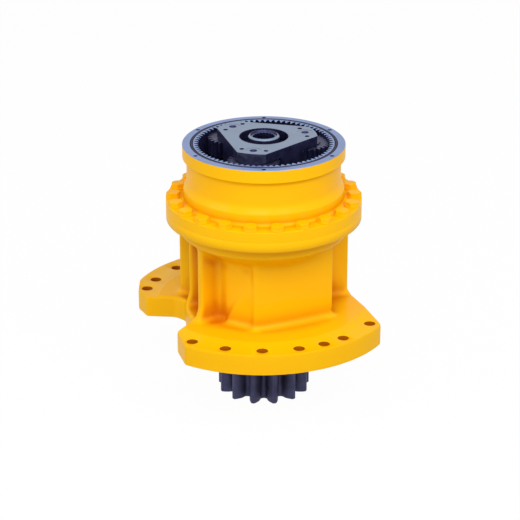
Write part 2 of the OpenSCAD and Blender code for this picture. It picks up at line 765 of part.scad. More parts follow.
// Rollers, or the same cones grown by play to cut the cage's pockets
module brg_rollers(r_in, r_out, w, play) {
    reach = brg_reach(r_in, r_out);
    half = roller_len(w) / 2 + max(play, 0);
    for (k = [0:roller_n - 1])
        rotate([0, 0, 360 * k / roller_n]) translate([0, 0, -reach * cos(roller_lean)])
            rotate([0, roller_lean, 0]) translate([0, 0, reach - half])
                cylinder(r1 = (reach - half) * tan(roller_half) + play,
                    r2 = (reach + half) * tan(roller_half) + play, h = 2 * half, $fn = 32);
}
module brg_cage(r_in, r_out, w) {
    t = 3;
    h = roller_len(w) / 2 + 2.5;
    mid = roller_lean + 0.4;
    difference() {
        rotate_extrude() polygon([
            [race_r(r_in, r_out, -h, mid) - t / 2, -h], [race_r(r_in, r_out, -h, mid) + t / 2, -h],
            [race_r(r_in, r_out, h, mid) + t / 2, h], [race_r(r_in, r_out, h, mid) - t / 2, h]
        ]);
        brg_rollers(r_in, r_out, w, 0.25);
    }
}
module lower_bearing_cup() {
    color(machined) brg_place(low_brg_z, low_brg_w, -1) brg_cup(low_brg_in_r, low_brg_out_r, low_brg_w);
}
module lower_bearing_cone() {
    color(machined) brg_place(low_brg_z, low_brg_w, -1) brg_cone(low_brg_in_r, low_brg_out_r, low_brg_w);
}
module lower_bearing_rollers() {
    color(machined) brg_place(low_brg_z, low_brg_w, -1)
        brg_rollers(low_brg_in_r, low_brg_out_r, low_brg_w, -0.05);
}
module lower_bearing_cage() {
    color(bronze) brg_place(low_brg_z, low_brg_w, -1) brg_cage(low_brg_in_r, low_brg_out_r, low_brg_w);
}
module upper_bearing_cup() {
    color(machined) brg_place(up_brg_z, up_brg_w, 1) brg_cup(up_brg_in_r, up_brg_out_r, up_brg_w);
}
module upper_bearing_cone() {
    color(machined) brg_place(up_brg_z, up_brg_w, 1) brg_cone(up_brg_in_r, up_brg_out_r, up_brg_w);
}
module upper_bearing_rollers() {
    color(machined) brg_place(up_brg_z, up_brg_w, 1)
        brg_rollers(up_brg_in_r, up_brg_out_r, up_brg_w, -0.05);
}
module upper_bearing_cage() {
    color(bronze) brg_place(up_brg_z, up_brg_w, 1) brg_cage(up_brg_in_r, up_brg_out_r, up_brg_w);
}
module spacer_tube() {
    color(gear_steel) translate([0, 0, low_brg_top])
        tube(low_brg_in_r + 8, low_brg_in_r - 1 + slip / 2, up_brg_z - low_brg_top);
}
module lock_washer() {
    color(gear_steel) translate([0, 0, up_brg_top]) tube(nut_r - 5, up_brg_in_r - 1 + slip, lock_washer_t);
}
module shaft_nut() {
    color(dark_steel) translate([0, 0, nut_z]) difference() {
        tube(nut_r, up_brg_in_r - 1 + slip, nut_t);
        for (k = [0:3])
            rotate([0, 0, 90 * k]) translate([nut_r - nut_slot_h, -nut_slot_w / 2, -eps])
                cube([2 * nut_slot_h, nut_slot_w, nut_t + 2 * eps]);
    }
}

// Shaft with its pinion
module pinion_shaft() {
    thread_r = up_brg_in_r - 1;
    color(dark_steel) difference() {
        union() {
            intersection() {
                translate([0, 0, pinion_z0]) linear_extrude(pinion_w) rotate(-90 + 180 / pinion_z)
                    spur(pinion_m, pinion_z, pinion_shift, 0);
                rotate_extrude() polygon([
                    [0, pinion_z0], [pinion_tip_r - pinion_bevel, pinion_z0],
                    [pinion_tip_r + 1, pinion_z0 + pinion_bevel + 1],
                    [pinion_tip_r + 1, pinion_z1 - pinion_bevel - 1],
                    [pinion_tip_r - pinion_bevel, pinion_z1], [0, pinion_z1]
                ]);
            }
            rotate_extrude() polygon([
                [0, pinion_z1 - 1], [sleeve_r, pinion_z1 - 1], [sleeve_r, sleeve_z],
                [sleeve_in_r, sleeve_z], [sleeve_in_r, low_brg_z], [low_brg_in_r, low_brg_z],
                [low_brg_in_r, low_brg_top], [low_brg_in_r - 1, low_brg_top],
                [low_brg_in_r - 1, up_brg_z], [up_brg_in_r, up_brg_z], [up_brg_in_r, up_brg_top],
                [thread_r, up_brg_top], [thread_r, hub_z], [0, hub_z]
            ]);
            translate([0, 0, hub_z - eps]) linear_extrude(shaft_top - hub_z + eps)
                splines(shaft_spline_n, shaft_spline_r - 3, shaft_spline_r);
        }
        translate([0, 0, pinion_z0 - eps]) cylinder(r1 = 9, r2 = 3, h = 14, $fn = 32);
        translate([0, 0, shaft_top - end_screw_h]) ring_of(3, end_screw_ring_r)
            cylinder(r = end_screw_r + slip / 2, h = end_screw_h + eps, $fn = 24);
    }
}
module end_plate() {
    color(gear_steel) translate([0, 0, shaft_top]) difference() {
        cylinder(r = end_plate_r, h = end_plate_t);
        translate([0, 0, -eps]) ring_of(3, end_screw_ring_r)
            cylinder(r = end_screw_r + 0.5, h = end_plate_t + 2 * eps, $fn = 24);
    }
}
module end_plate_screws() {
    color(dark_steel) translate([0, 0, shaft_top + end_plate_t]) ring_of(3, end_screw_ring_r) {
        cylinder(r = end_screw_head_r, h = end_screw_head, $fn = 32);
        translate([0, 0, 1 - end_screw_h - end_plate_t + 2])
            cylinder(r = end_screw_r, h = end_screw_h + end_plate_t - 2, $fn = 24);
    }
}

// Second stage
module at_planets(angles, arm) {
    for (a = angles) rotate([0, 0, a]) translate([arm, 0, 0]) children();
}
module carrier_2() {
    pin_z = low_2_z + 3;
    color(gear_steel) difference() {
        union() {
            translate([0, 0, hub_z]) cylinder(r = nut_r, h = low_2_z - hub_z + eps);
            translate([0, 0, low_2_z]) cylinder(r = carrier_2_r, h = carrier_2_low_t);
            translate([0, 0, plate_2_z]) cylinder(r = carrier_2_r, h = carrier_2_t);
            translate([0, 0, low_2_top - eps]) linear_extrude(plate_2_z - low_2_top + 2 * eps) difference() {
                circle(r = carrier_2_r);
                circle(r = sun_2_tip_r + 4);
                for (a = planet_2_angles) rotate(a) translate([arm_2, 0]) circle(r = tip_2_r + 1.5);
            }
        }
        translate([0, 0, hub_z - eps]) linear_extrude(shaft_top - hub_z + 2 * eps)
            splines(shaft_spline_n, shaft_spline_r - 3, shaft_spline_r, slip);
        translate([0, 0, shaft_top]) cylinder(r = end_plate_r + slip, h = 40);
        translate([0, 0, plate_2_z - eps]) cylinder(r = sun_2_tip_r + 4, h = carrier_2_t + 2 * eps);
        translate([0, 0, pin_z]) at_planets(planet_2_angles, arm_2)
            cylinder(r = pin_2_r + slip / 2, h = carrier_2_top - pin_z + eps);
        translate([0, 0, low_2_z + carrier_2_low_t / 2]) for (a = planet_2_angles) rotate([0, 90, a])
            translate([0, 0, arm_2]) cylinder(r = spring_pin_r + slip / 2, h = carrier_2_r, $fn = 24);
    }
}
module pin_with_lock(r, z0, z1, lock_z) {
    difference() {
        translate([0, 0, z0]) cylinder(r = r, h = z1 - z0);
        translate([0, 0, lock_z]) rotate([0, 90, 0])
            cylinder(r = spring_pin_r + slip / 2, h = r + eps, $fn = 24);
        translate([0, 0, z1 - pin_dimple_h])
            cylinder(r1 = spring_pin_r, r2 = 2 * spring_pin_r, h = pin_dimple_h + eps, $fn = 32);
    }
}
module needles(pin_r, d, h) {
    for (k = [0:needle_n - 1])
        rotate([0, 0, 360 * k / needle_n]) translate([pin_r + d / 2, 0, 0])
            cylinder(r = d / 2 - 0.05, h = h, $fn = 16);
}
module stage_2_pins() {
    color(gear_steel) at_planets(planet_2_angles, arm_2)
        pin_with_lock(pin_2_r, low_2_z + 3, carrier_2_top - 0.5, low_2_z + carrier_2_low_t / 2);
}
module stage_2_needles() {
    color(machined) translate([0, 0, planet_2_low + 1]) at_planets(planet_2_angles, arm_2)
        needles(pin_2_r, needle_2_d, planet_2_w - 2);
}
module washer_pair(pin_r, r, z_low, z_high) {
    translate([0, 0, z_low]) tube(r, pin_r + slip, washer_t);
    translate([0, 0, z_high - washer_t]) tube(r, pin_r + slip, washer_t);
}
module stage_2_washers() {
    color(bronze) at_planets(planet_2_angles, arm_2)
        washer_pair(pin_2_r, pin_2_r + washer_2_land, low_2_top, plate_2_z);
}
module stage_2_spring_pins() {
    color(gear_steel) translate([0, 0, low_2_z + carrier_2_low_t / 2]) for (a = planet_2_angles)
        rotate([0, 90, a]) translate([0, 0, arm_2 + 2])
            cylinder(r = spring_pin_r, h = carrier_2_r - arm_2 - 4, $fn = 24);
}
module planet(a, arm, z, teeth, w, bore_r) {
    color(gear_steel) translate([arm * cos(a), arm * sin(a), z]) rotate([0, 0, planet_turn(a, teeth)])
        difference() {
            linear_extrude(w) spur(gear_m, teeth);
            translate([0, 0, -eps]) cylinder(r = bore_r, h = w + 2 * eps);
        }
}
module planet_2(i) {
    planet(planet_2_angles[i], arm_2, planet_2_low, planet_2_z, planet_2_w, pin_2_r + needle_2_d);
}
module planet_2_a() {
    planet_2(0);
}
module planet_2_b() {
    planet_2(1);
}
module planet_2_c() {
    planet_2(2);
}
module planet_2_d() {
    planet_2(3);
}

// Second sun gear, splined into the first carrier
module sun_2() {
    color(gear_steel) difference() {
        union() {
            translate([0, 0, planet_2_low])
                rotate([0, 0, sun_turn(planet_2_angles[0], sun_2_z, planet_2_z)])
                    linear_extrude(planet_2_w) spur(gear_m, sun_2_z);
            translate([0, 0, planet_2_top - eps])
                cylinder(r = sun_2_spline_r + 2, h = low_1_z - carrier_1_hub_h - planet_2_top + eps);
            translate([0, 0, low_1_z - carrier_1_hub_h]) linear_extrude(carrier_1_low_t + carrier_1_hub_h)
                splines(sun_2_spline_n, sun_2_spline_r - 3, sun_2_spline_r);
            translate([0, 0, low_1_top - eps])
                cylinder(r = sun_2_stub_r, h = sun_2_top - low_1_top + eps);
        }
        translate([0, 0, planet_2_low - eps])
            cylinder(r = sun_2_bore_r, h = sun_2_top - planet_2_low + 2 * eps);
    }
}
module sun_2_ring() {
    color(dark_steel) translate([0, 0, low_1_top])
        tube(sun_2_spline_r + 3, sun_2_stub_r + slip / 2, sun_2_ring_t);
}

// First carrier: a three-cornered plate over a round one, with posts between
module carrier_1_plan() {
    intersection() {
        circle(r = carrier_1_r);
        polygon([for (a = planet_1_angles) polar(2 * carrier_1_side, a)]);
    }
}
module carrier_1() {
    color(machined) difference() {
        union() {
            translate([0, 0, plate_1_z]) linear_extrude(carrier_1_t) carrier_1_plan();
            translate([0, 0, low_1_z]) cylinder(r = carrier_1_r, h = carrier_1_low_t);
            translate([0, 0, low_1_z - carrier_1_hub_h])
                cylinder(r = sun_2_spline_r + carrier_1_hub_t, h = carrier_1_hub_h + eps);
            translate([0, 0, low_1_top - eps]) linear_extrude(plate_1_z - low_1_top + 2 * eps) difference() {
                carrier_1_plan();
                circle(r = sun_1_tip_r + 3);
                for (a = planet_1_angles) rotate(a) translate([arm_1, 0]) circle(r = tip_1_r + 1.5);
            }
        }
        translate([0, 0, plate_1_z - eps]) cylinder(r = carrier_1_hole_r, h = carrier_1_t + 2 * eps);
        translate([0, 0, low_1_z - carrier_1_hub_h - eps])
            linear_extrude(carrier_1_low_t + carrier_1_hub_h + 2 * eps)
                splines(sun_2_spline_n, sun_2_spline_r - 3, sun_2_spline_r, slip);
        translate([0, 0, low_1_z + 2]) at_planets(planet_1_angles, arm_1)
            cylinder(r = pin_1_r + slip / 2, h = carrier_1_top - low_1_z);
        for (a = planet_1_angles, s = [-1, 1]) rotate([0, 0, a + s * puller_turn])
            translate([arm_1, 0, carrier_1_top - puller_h])
                cylinder(r = puller_r, h = puller_h + eps, $fn = 24);
        translate([0, 0, low_1_z + carrier_1_low_t / 2]) for (a = planet_1_angles) rotate([0, 90, a])
            translate([0, 0, arm_1]) cylinder(r = spring_pin_r + slip / 2, h = carrier_1_r, $fn = 24);
    }
}
module stage_1_pins() {
    color(gear_steel) at_planets(planet_1_angles, arm_1)
        pin_with_lock(pin_1_r, low_1_z + 2, carrier_1_top - 0.3, low_1_z + carrier_1_low_t / 2);
}
module stage_1_needles() {
    color(machined) translate([0, 0, planet_1_low + 1]) at_planets(planet_1_angles, arm_1)
        needles(pin_1_r, needle_1_d, planet_1_w - 2);
}
module stage_1_washers() {
    color(bronze) at_planets(planet_1_angles, arm_1)
        washer_pair(pin_1_r, pin_1_r + washer_1_land, low_1_top, plate_1_z);
}
module stage_1_spring_pins() {
    color(gear_steel) translate([0, 0, low_1_z + carrier_1_low_t / 2]) for (a = planet_1_angles)
        rotate([0, 90, a]) translate([0, 0, arm_1 + 2])
            cylinder(r = spring_pin_r, h = carrier_1_r - arm_1 - 4, $fn = 24);
}
module planet_1(i) {
    planet(planet_1_angles[i], arm_1, planet_1_low, planet_1_z, planet_1_w, pin_1_r + needle_1_d);
}
module planet_1_a() {
    planet_1(0);
}
module planet_1_b() {
    planet_1(1);
}
module planet_1_c() {
    planet_1(2);
}

// First sun gear with the splined collar that takes the motor's shaft
module sun_1() {
    major_r = input_r + input_spline_h;
    collar_top = sun_1_top - plate_1_z + eps;
    color(machined) difference() {
        union() {
            translate([0, 0, sun_1_low])
                rotate([0, 0, sun_turn(planet_1_angles[0], sun_1_z, planet_1_z)])
                    linear_extrude(plate_1_z - sun_1_low) spur(gear_m, sun_1_z);
            translate([0, 0, plate_1_z - eps]) rotate_extrude() polygon([
                [0, 0], [sun_collar_r, 0], [sun_collar_r, collar_top - sun_collar_bevel],
                [sun_collar_r - sun_collar_bevel, collar_top], [0, collar_top]
            ]);
        }
        translate([0, 0, sun_1_low - eps]) linear_extrude(sun_1_top - sun_1_low + 2 * eps)
            splines(input_spline_n, input_r, major_r);
    }
}
module sun_1_plug() {
    color(dark_steel) translate([0, 0, sun_1_low]) cylinder(r = input_r - slip, h = 5, $fn = 48);
}

// Plugs at the back
module plug_at(turn, r_face, z, reach) {
    translate([0, 0, z]) facing(turn) translate([r_face, 0, 0]) rotate([0, 90, 0]) {
        cylinder(r = plug_washer_r, h = plug_washer_t, $fn = 32);
        translate([0, 0, plug_washer_t]) cylinder(r = plug_af / 2 / cos(30), h = plug_head_h, $fn = 6);
        translate([0, 0, -reach]) cylinder(r = plug_r, h = reach + eps, $fn = 32);
    }
}
module drain_plug() {
    color(dark_steel) plug_at(drain_turn, collar_r - plug_spot_h, drain_z, drain_reach);
}
module level_plug() {
    color(dark_steel) plug_at(level_turn, ring_wall_r - plug_spot_h, level_z, level_reach);
}

main_housing();
ring_gear();
flange_bolts();
flange_dowels();
joint_o_ring();
top_o_ring();
seal_cover();
seal_cover_bolts();
cover_o_ring();
shaft_seal();
lower_bearing_cup();
upper_bearing_cup();
drain_plug();
level_plug();
pinion_shaft();
wear_sleeve();
lower_bearing_cone();
spacer_tube();
upper_bearing_cone();
lock_washer();
shaft_nut();
carrier_2();
end_plate();
end_plate_screws();
stage_2_pins();
stage_2_needles();
stage_2_washers();
stage_2_spring_pins();
lower_bearing_rollers();
lower_bearing_cage();
upper_bearing_rollers();
upper_bearing_cage();
planet_2_a();
planet_2_b();
planet_2_c();
planet_2_d();
sun_2();
sun_2_ring();
carrier_1();
stage_1_pins();
stage_1_needles();
stage_1_washers();
stage_1_spring_pins();
planet_1_a();
planet_1_b();
planet_1_c();
sun_1();
sun_1_plug();
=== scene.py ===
"""Looks of an excavator's swing gearbox: a ribbed yellow casting, an open ring
gear with carrier and sun gear on top, and the dark swing pinion below."""

import contextlib
import math

import bmesh
import bpy
from mathutils import Matrix, Vector
from mathutils.bvhtree import BVHTree


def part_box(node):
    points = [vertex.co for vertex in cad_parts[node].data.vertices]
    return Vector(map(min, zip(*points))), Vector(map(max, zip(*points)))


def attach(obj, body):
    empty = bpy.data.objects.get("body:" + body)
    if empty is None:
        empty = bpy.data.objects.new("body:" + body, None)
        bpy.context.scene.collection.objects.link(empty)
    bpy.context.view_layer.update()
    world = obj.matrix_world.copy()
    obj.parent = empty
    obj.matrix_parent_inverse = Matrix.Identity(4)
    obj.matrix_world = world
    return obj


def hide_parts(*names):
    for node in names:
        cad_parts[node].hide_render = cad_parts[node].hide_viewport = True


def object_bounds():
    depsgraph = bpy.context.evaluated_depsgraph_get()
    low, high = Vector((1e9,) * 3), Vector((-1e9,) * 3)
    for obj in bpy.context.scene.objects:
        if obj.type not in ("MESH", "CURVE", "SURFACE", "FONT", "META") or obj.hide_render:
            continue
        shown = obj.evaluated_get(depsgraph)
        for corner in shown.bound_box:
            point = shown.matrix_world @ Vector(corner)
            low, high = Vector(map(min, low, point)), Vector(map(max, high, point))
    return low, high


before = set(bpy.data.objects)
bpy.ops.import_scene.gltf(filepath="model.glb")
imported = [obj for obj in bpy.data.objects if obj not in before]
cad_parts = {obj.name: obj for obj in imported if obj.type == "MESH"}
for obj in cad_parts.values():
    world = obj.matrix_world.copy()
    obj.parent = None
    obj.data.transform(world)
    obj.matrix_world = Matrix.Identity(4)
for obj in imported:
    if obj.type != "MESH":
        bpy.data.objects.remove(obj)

CAD_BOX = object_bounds()
MM = 0.001

bl_info = {
    "name": "Swing gearbox",
    "version": (1, 0, 0),
    "blender": (4, 5, 0),
    "location": "3D View > Sidebar > Gearbox",
    "description": "Builds the visible pieces of a swing gearbox around its frame",
    "category": "Object",
}


def length(name, default, about):
    """A size in metres, given here in millimetres."""
    return bpy.props.FloatProperty(
        name=name, description=about, default=default * MM, unit="LENGTH", precision=5
    )


def amount(name, default, about, **kind):
    """A plain number. kind may give its unit or its subtype."""
    return bpy.props.FloatProperty(name=name, description=about, default=default, **kind)


def quantity(name, default, about):
    """How many there are of something."""
    return bpy.props.IntProperty(name=name, description=about, default=default, min=3)


def colour(name, default, about):
    """A colour, as linear red, green and blue."""
    return bpy.props.FloatVectorProperty(
        name=name, description=about, default=default, subtype="COLOR", size=3, min=0.0, max=1.0
    )


# Materials


class Link:
    """An output socket. Operators on it add Math nodes to its tree."""

    def __init__(self, finish, socket):
        self.finish = finish
        self.socket = socket

    def math(self, operation, *values):
        return self.finish.node("ShaderNodeMath", {"operation": operation}, *values)

    def __add__(self, other):
        return self.math("ADD", self, other)

    __radd__ = __add__

    def __sub__(self, other):
        return self.math("SUBTRACT", self, other)

    def __rsub__(self, other):
        return self.math("SUBTRACT", other, self)

    def __mul__(self, other):
        return self.math("MULTIPLY", self, other)

    __rmul__ = __mul__

    def __truediv__(self, other):
        return self.math("DIVIDE", self, other)

    def __pow__(self, other):
        return self.math("POWER", self, other)

    def over(self, low, high):
        """0 below low and 1 above high, smooth between."""
        settings = {"interpolation_type": "SMOOTHSTEP"}
        return self.finish.node("ShaderNodeMapRange", settings, self, low, high, 0.0, 1.0)


class Finish:
    """A material whose nodes are added by calls."""

    def __init__(self, name):
        self.material = bpy.data.materials.new(name)
        self.material.use_nodes = True
        self.tree = self.material.node_tree
        self.tree.nodes.clear()
        self.place = self.node("ShaderNodeTexCoord", {}, output="Object")

    def node(self, kind, settings, *values, output=None, **named):
        """Adds a node: its settings, then its sockets in order, then those given by name."""
        node = self.tree.nodes.new(kind)
        for key, value in settings.items():
            setattr(node, key, value)
        sockets = [s for s in node.inputs if s.enabled]
        pairs = list(zip(sockets, values))
        by_name = {s.name.lower(): s for s in reversed(node.inputs)}
        pairs += [(by_name[key.replace("_", " ").lower()], v) for key, v in named.items()]
        for socket, value in pairs:
            if isinstance(value, Link):
                self.tree.links.new(value.socket, socket)
            elif value is not None:
                socket.default_value = value
        if output:
            return Link(self, node.outputs[output])
        return next((Link(self, s) for s in node.outputs if s.enabled), None)

    def axis(self, name):
        """One coordinate of the object's place."""
        return self.node("ShaderNodeSeparateXYZ", {}, self.place, output=name)

    def radius(self):
        """Distance from the output axis."""
        x = self.axis("X")
        y = self.axis("Y")
        return (x * x + y * y) ** 0.5

    def stretched(self, x=1.0, y=1.0, z=1.0):
        """The place, scaled along each axis."""
        return self.node("ShaderNodeVectorMath", {"operation": "MULTIPLY"}, self.place, (x, y, z))

    def noise(self, size, detail=2.0, rough=0.5, place=None):
        """Noise between 0 and 1 whose largest blotches measure about size."""
        return self.node(
            "ShaderNodeTexNoise", {}, place or self.place, Scale=1 / size, Detail=detail, Roughness=rough
        )

    def mix(self, factor, a, b):
        """Between two colours."""
        settings = {"data_type": "RGBA"}
        a = a if isinstance(a, Link) else (*a, 1.0)
        b = b if isinstance(b, Link) else (*b, 1.0)
        return self.node("ShaderNodeMix", settings, factor, a, b)

    def bump(self, height, depth):
        """A bump whose height of 1 stands for depth in metres."""
        return self.node("ShaderNodeBump", {}, Strength=1.0, Distance=depth, Height=height)

    def attribute(self, name):
        return self.node("ShaderNodeAttribute", {"attribute_name": name}, output="Fac")

    def surface(self, **sockets):
        """Ends the material in a Principled shader with these sockets."""
        shader = self.node("ShaderNodeBsdfPrincipled", {}, **sockets)
        self.node("ShaderNodeOutputMaterial", {}, shader)
        return self.material


class GEAR_PG_colours(bpy.types.PropertyGroup):
    paint: colour("Paint", (0.99, 0.51, 0.001), "Yellow enamel on the castings")
    thin: colour("Thin paint", (1.0, 0.55, 0.002), "Patches where the enamel is thinner")
    # Painted shade: the enamel darkened where walls stand near
    recess_shade: colour("Paint in recesses", (0.64, 0.155, 0.001), "The enamel where dust and shade gather")
    # Painted shade: the darker enamel on the walls of drilled holes
    hole: colour("Hole walls", (0.5, 0.13, 0.0005), "Thin paint on the walls of drilled holes")
    machined: colour("Machined steel", (0.265, 0.335, 0.465), "Turned and ground faces")
    ring_face: colour("Ring gear's face", (0.27, 0.36, 0.62), "The ring gear's ground top face")
    gear: colour("Gear steel", (0.06, 0.065, 0.13), "Hobbed and hardened gears")
    # Partly painted shade: oiled steel, made darker still to stand for the shaded inside of the ring
    # gear
    oil_and_shade: colour("Oiled steel", (0.025, 0.026, 0.08), "Oiled teeth and sides inside the ring gear")
    pinion: colour("Pinion", (0.068, 0.071, 0.152), "Phosphated swing pinion")
    rubber: colour("Rubber", (0.008, 0.009, 0.025), "Nitrile rubber of the seals")
    bronze: colour("Bronze", (0.09, 0.06, 0.035), "Oiled cages and second-stage thrust washers")


def shade(tint, share):
    """This share of a colour."""
    return tuple(c * share for c in tint)


def paint(name, colours, cast=True):
    """Semi-gloss enamel. cast adds the sand casting's skin, and painted shade: darker, more orange
    enamel where walls stand near, which the attribute open tells."""
    f = Finish(name)
    cloud = f.noise(90 * MM, 3.0, 0.6)
    tone = f.mix(cloud.over(0.3, 0.8) * 0.3, tuple(colours.paint), tuple(colours.thin))
    peel = f.noise(2.6 * MM, 2.0, 0.5)
    height = peel * 0.08
    rough = 0.36 + cloud * 0.05
    if cast:
        # Painted shade: the recess colour where walls stand near, darker still deep in holes and pockets
        sky = f.attribute("open")
        hollow = 1 - sky.over(0.54, 0.87)
        deep = 1 - sky.over(0.1, 0.5)
        # A noise that varies the strength of the painted shade at random
        mottle = f.noise(14 * MM, 4.0, 0.65).over(0.3, 0.7)
        tone = f.mix(hollow * (0.9 + mottle * 0.1), tone, tuple(colours.recess_shade))
        tone = f.mix(deep * 0.85, tone, shade(colours.recess_shade, 0.4))
        skin = f.noise(6 * MM, 3.0, 0.6)
        height = height + skin * 0.3 + f.noise(38 * MM, 2.0, 0.5) * 0.5
        rough = rough + hollow * 0.15
    bump = f.bump(height, 0.3 * MM)
    return f.surface(
        base_color=tone, roughness=rough, normal=bump, specular_ior_level=0.06, coat_weight=0.1,
        coat_roughness=0.08,
    )


def shaded_hole_wall(name, tint):
    """Wall of a drilled hole: dull, darker enamel, painted shade standing in for the shade inside the
    hole.
    """
    f = Finish(name)
    cloud = f.noise(5 * MM, 3.0, 0.6)
    tone = f.mix(cloud, tuple(tint), shade(tint, 0.6))
    return f.surface(base_color=tone, roughness=0.6 + cloud * 0.1, specular_ior_level=0.02)


def turned_face(name, tint, grooves=0.9 * MM, rough=0.3, oil=0.35):
    """Metal turned on a lathe: fine rings about the output axis, with patches of oil."""
    f = Finish(name)
    turns = f.radius() / grooves
    rings = f.node("ShaderNodeTexNoise", {"noise_dimensions": "1D"}, W=turns, Scale=1.0, Detail=3.0)
    patch = f.noise(32 * MM, 3.0, 0.6).over(0.45, 0.62)
    smear = f.noise(9 * MM, 4.0, 0.7)
    tone = f.mix(rings.over(0.2, 0.8) * 0.5, shade(tint, 0.78), shade(tint, 1.15))
    tone = f.mix(patch * oil, tone, shade(tint, 0.55))
    bump = f.bump(rings * 0.6 + smear * 0.2, 0.06 * MM)
    return f.surface(
        base_color=tone, metallic=0.85, roughness=rough + rings * 0.12 + (1 - patch) * 0.08, normal=bump
    )


def hobbed(name, tint, rough=0.36, metal=0.8, scale=1.0):
    """Gear steel: faint upright cutter marks, mottled by the hardening oven and oil."""
    f = Finish(name)
    marks = f.noise(1.6 * MM * scale, 2.0, 0.5, place=f.stretched(1.0, 1.0, 0.08))
    bloom = f.noise(26 * MM * scale, 4.0, 0.65)
    wet = f.noise(11 * MM * scale, 2.0, 0.5).over(0.5, 0.66)
    tone = f.mix(bloom.over(0.3, 0.7), shade(tint, 0.72), shade(tint, 1.25))
    tone = f.mix(wet * 0.35, tone, shade(tint, 0.5))
    bump = f.bump(marks * 0.7 + bloom * 0.5, 0.08 * MM * scale)
    return f.surface(
        base_color=tone, metallic=metal, roughness=rough + bloom * 0.15 - wet * 0.12, normal=bump,
        specular_ior_level=0.25,
    )


def rubber(name, tint):
    """Moulded nitrile rubber with a dull, slightly dusty skin."""
    f = Finish(name)
    mottle = f.noise(6 * MM, 4.0, 0.7)
    tone = f.mix(mottle.over(0.45, 0.8) * 0.5, tuple(tint), shade(tint, 3.0))
    bump = f.bump(f.noise(0.9 * MM, 2.0, 0.5), 0.05 * MM)
    return f.surface(base_color=tone, roughness=0.55 + mottle * 0.2, normal=bump)


def materials():
    """All finishes by name, made once."""
    made = bpy.data.materials
    if "enamel" not in made:
        c = bpy.context.scene.gear_colours
        paint("enamel", c)
        paint("enamel_smooth", c, cast=False)
        turned_face("turned_steel", c.machined)
        turned_face("ring_face", c.ring_face, rough=0.34)
        turned_face("ground_steel", shade(c.machined, 1.3), grooves=0.5 * MM, rough=0.22)
        hobbed("hobbed_steel", c.gear)
        hobbed("oil_and_shade_dark", c.oil_and_shade, rough=0.34, metal=0.6)
        hobbed("phosphate", c.pinion, rough=0.5, metal=0.5, scale=1.6)
        turned_face("oiled_bronze", c.bronze, rough=0.3, oil=0.5)
        shaded_hole_wall("shaded_hole_wall", c.hole)
        rubber("rubber", c.rubber)
    return made


# Modelling


def only(*objects):
    """Selects these objects alone and makes the first one active."""
    bpy.ops.object.select_all(action="DESELECT")
    for item in objects:
        item.select_set(True)
    bpy.context.view_layer.objects.active = objects[0]


@contextlib.contextmanager
def editing(obj):
    """Edit mode on obj, with nothing selected."""
    only(obj)
    bpy.ops.object.mode_set(mode="EDIT")
    bpy.ops.mesh.select_all(action="DESELECT")
    yield
    bpy.ops.object.mode_set(mode="OBJECT")


def choose_edges(obj, test):
    """In edit mode, selects the edges of obj for which test is true."""
    bpy.ops.mesh.select_mode(type="EDGE")
    bpy.ops.mesh.select_all(action="DESELECT")
    mesh = bmesh.from_edit_mesh(obj.data)
    for edge in mesh.edges:
        if test(edge):
            edge.select_set(True)
    mesh.select_flush_mode()
    bmesh.update_edit_mesh(obj.data)


def modified(obj, kind, **settings):
    """Adds a modifier to obj, sets it and applies it."""
    only(obj)
    modifier = obj.modifiers.new(kind.lower(), kind)
    for key, value in settings.items():
        setattr(modifier, key, value)
    bpy.ops.object.modifier_apply(modifier=modifier.name)
    return obj


def joined(parts):
    """Makes one object of several."""
    only(*parts)
    bpy.ops.object.join()
    return parts[0]


def cut(obj, tool, operation="DIFFERENCE"):
    """Cuts obj with tool, or unites them, and removes the tool."""
    modified(obj, "BOOLEAN", operation=operation, solver="MANIFOLD", object=tool)
    bpy.data.objects.remove(tool)
    return obj


def placed(obj, matrix):
    """Moves obj and writes its place into its mesh."""
    only(obj)
    obj.matrix_world = matrix @ obj.matrix_world
    bpy.ops.object.transform_apply(location=True, rotation=True, scale=True)
    return obj


def tidy_normals(obj):
    """Merges the points that coincide and turns all faces outwards."""
    with editing(obj):
        bpy.ops.mesh.select_all(action="SELECT")
        bpy.ops.mesh.remove_doubles(threshold=0.002 * MM)
        bpy.ops.mesh.normals_make_consistent(inside=False)
    return obj


def prism(outline, low, high):
    """A solid whose plan is outline, between two heights."""
    bpy.ops.object.select_all(action="DESELECT")
    bpy.ops.mesh.primitive_circle_add(vertices=len(outline), fill_type="NGON")
    solid = bpy.context.object
    for vertex, (x, y) in zip(solid.data.vertices, outline):
        vertex.co = (x, y, low)
    with editing(solid):
        bpy.ops.mesh.select_all(action="SELECT")
        bpy.ops.mesh.extrude_region_move(TRANSFORM_OT_translate={"value": (0, 0, high - low)})
    return tidy_normals(solid)


def turned(profile, steps=128):
    """A solid turned about the output axis. profile has (radius, height) points. It starts
    and ends on the axis, or goes round a closed section."""
    bpy.ops.object.select_all(action="DESELECT")
    bpy.ops.mesh.primitive_circle_add(vertices=len(profile), fill_type="NOTHING")
    solid = bpy.context.object
    for vertex, (r, z) in zip(solid.data.vertices, profile):
        vertex.co = (r, 0, z)
    solid_core = profile[0][0] == 0 and profile[-1][0] == 0
    with editing(solid):
        if solid_core:
            choose_edges(solid, lambda edge: all(v.co.x == 0 for v in edge.verts))
            bpy.ops.mesh.delete(type="EDGE")
        bpy.ops.mesh.select_mode(type="VERT")
        bpy.ops.mesh.select_all(action="SELECT")
        bpy.ops.mesh.spin(steps=steps, angle=math.tau, center=(0, 0, 0), axis=(0, 0, 1))
    return tidy_normals(solid)


def cylinder(radius, low, high, steps=32, centre=(0.0, 0.0), top=None):
    """An upright cylinder, or a cone where top gives another radius."""
    bpy.ops.object.select_all(action="DESELECT")
    bpy.ops.mesh.primitive_cone_add(
        vertices=steps, radius1=radius, radius2=radius if top is None else top, depth=high - low,
        location=(*centre, (low + high) / 2),
    )
    return placed(bpy.context.object, Matrix.Identity(4))


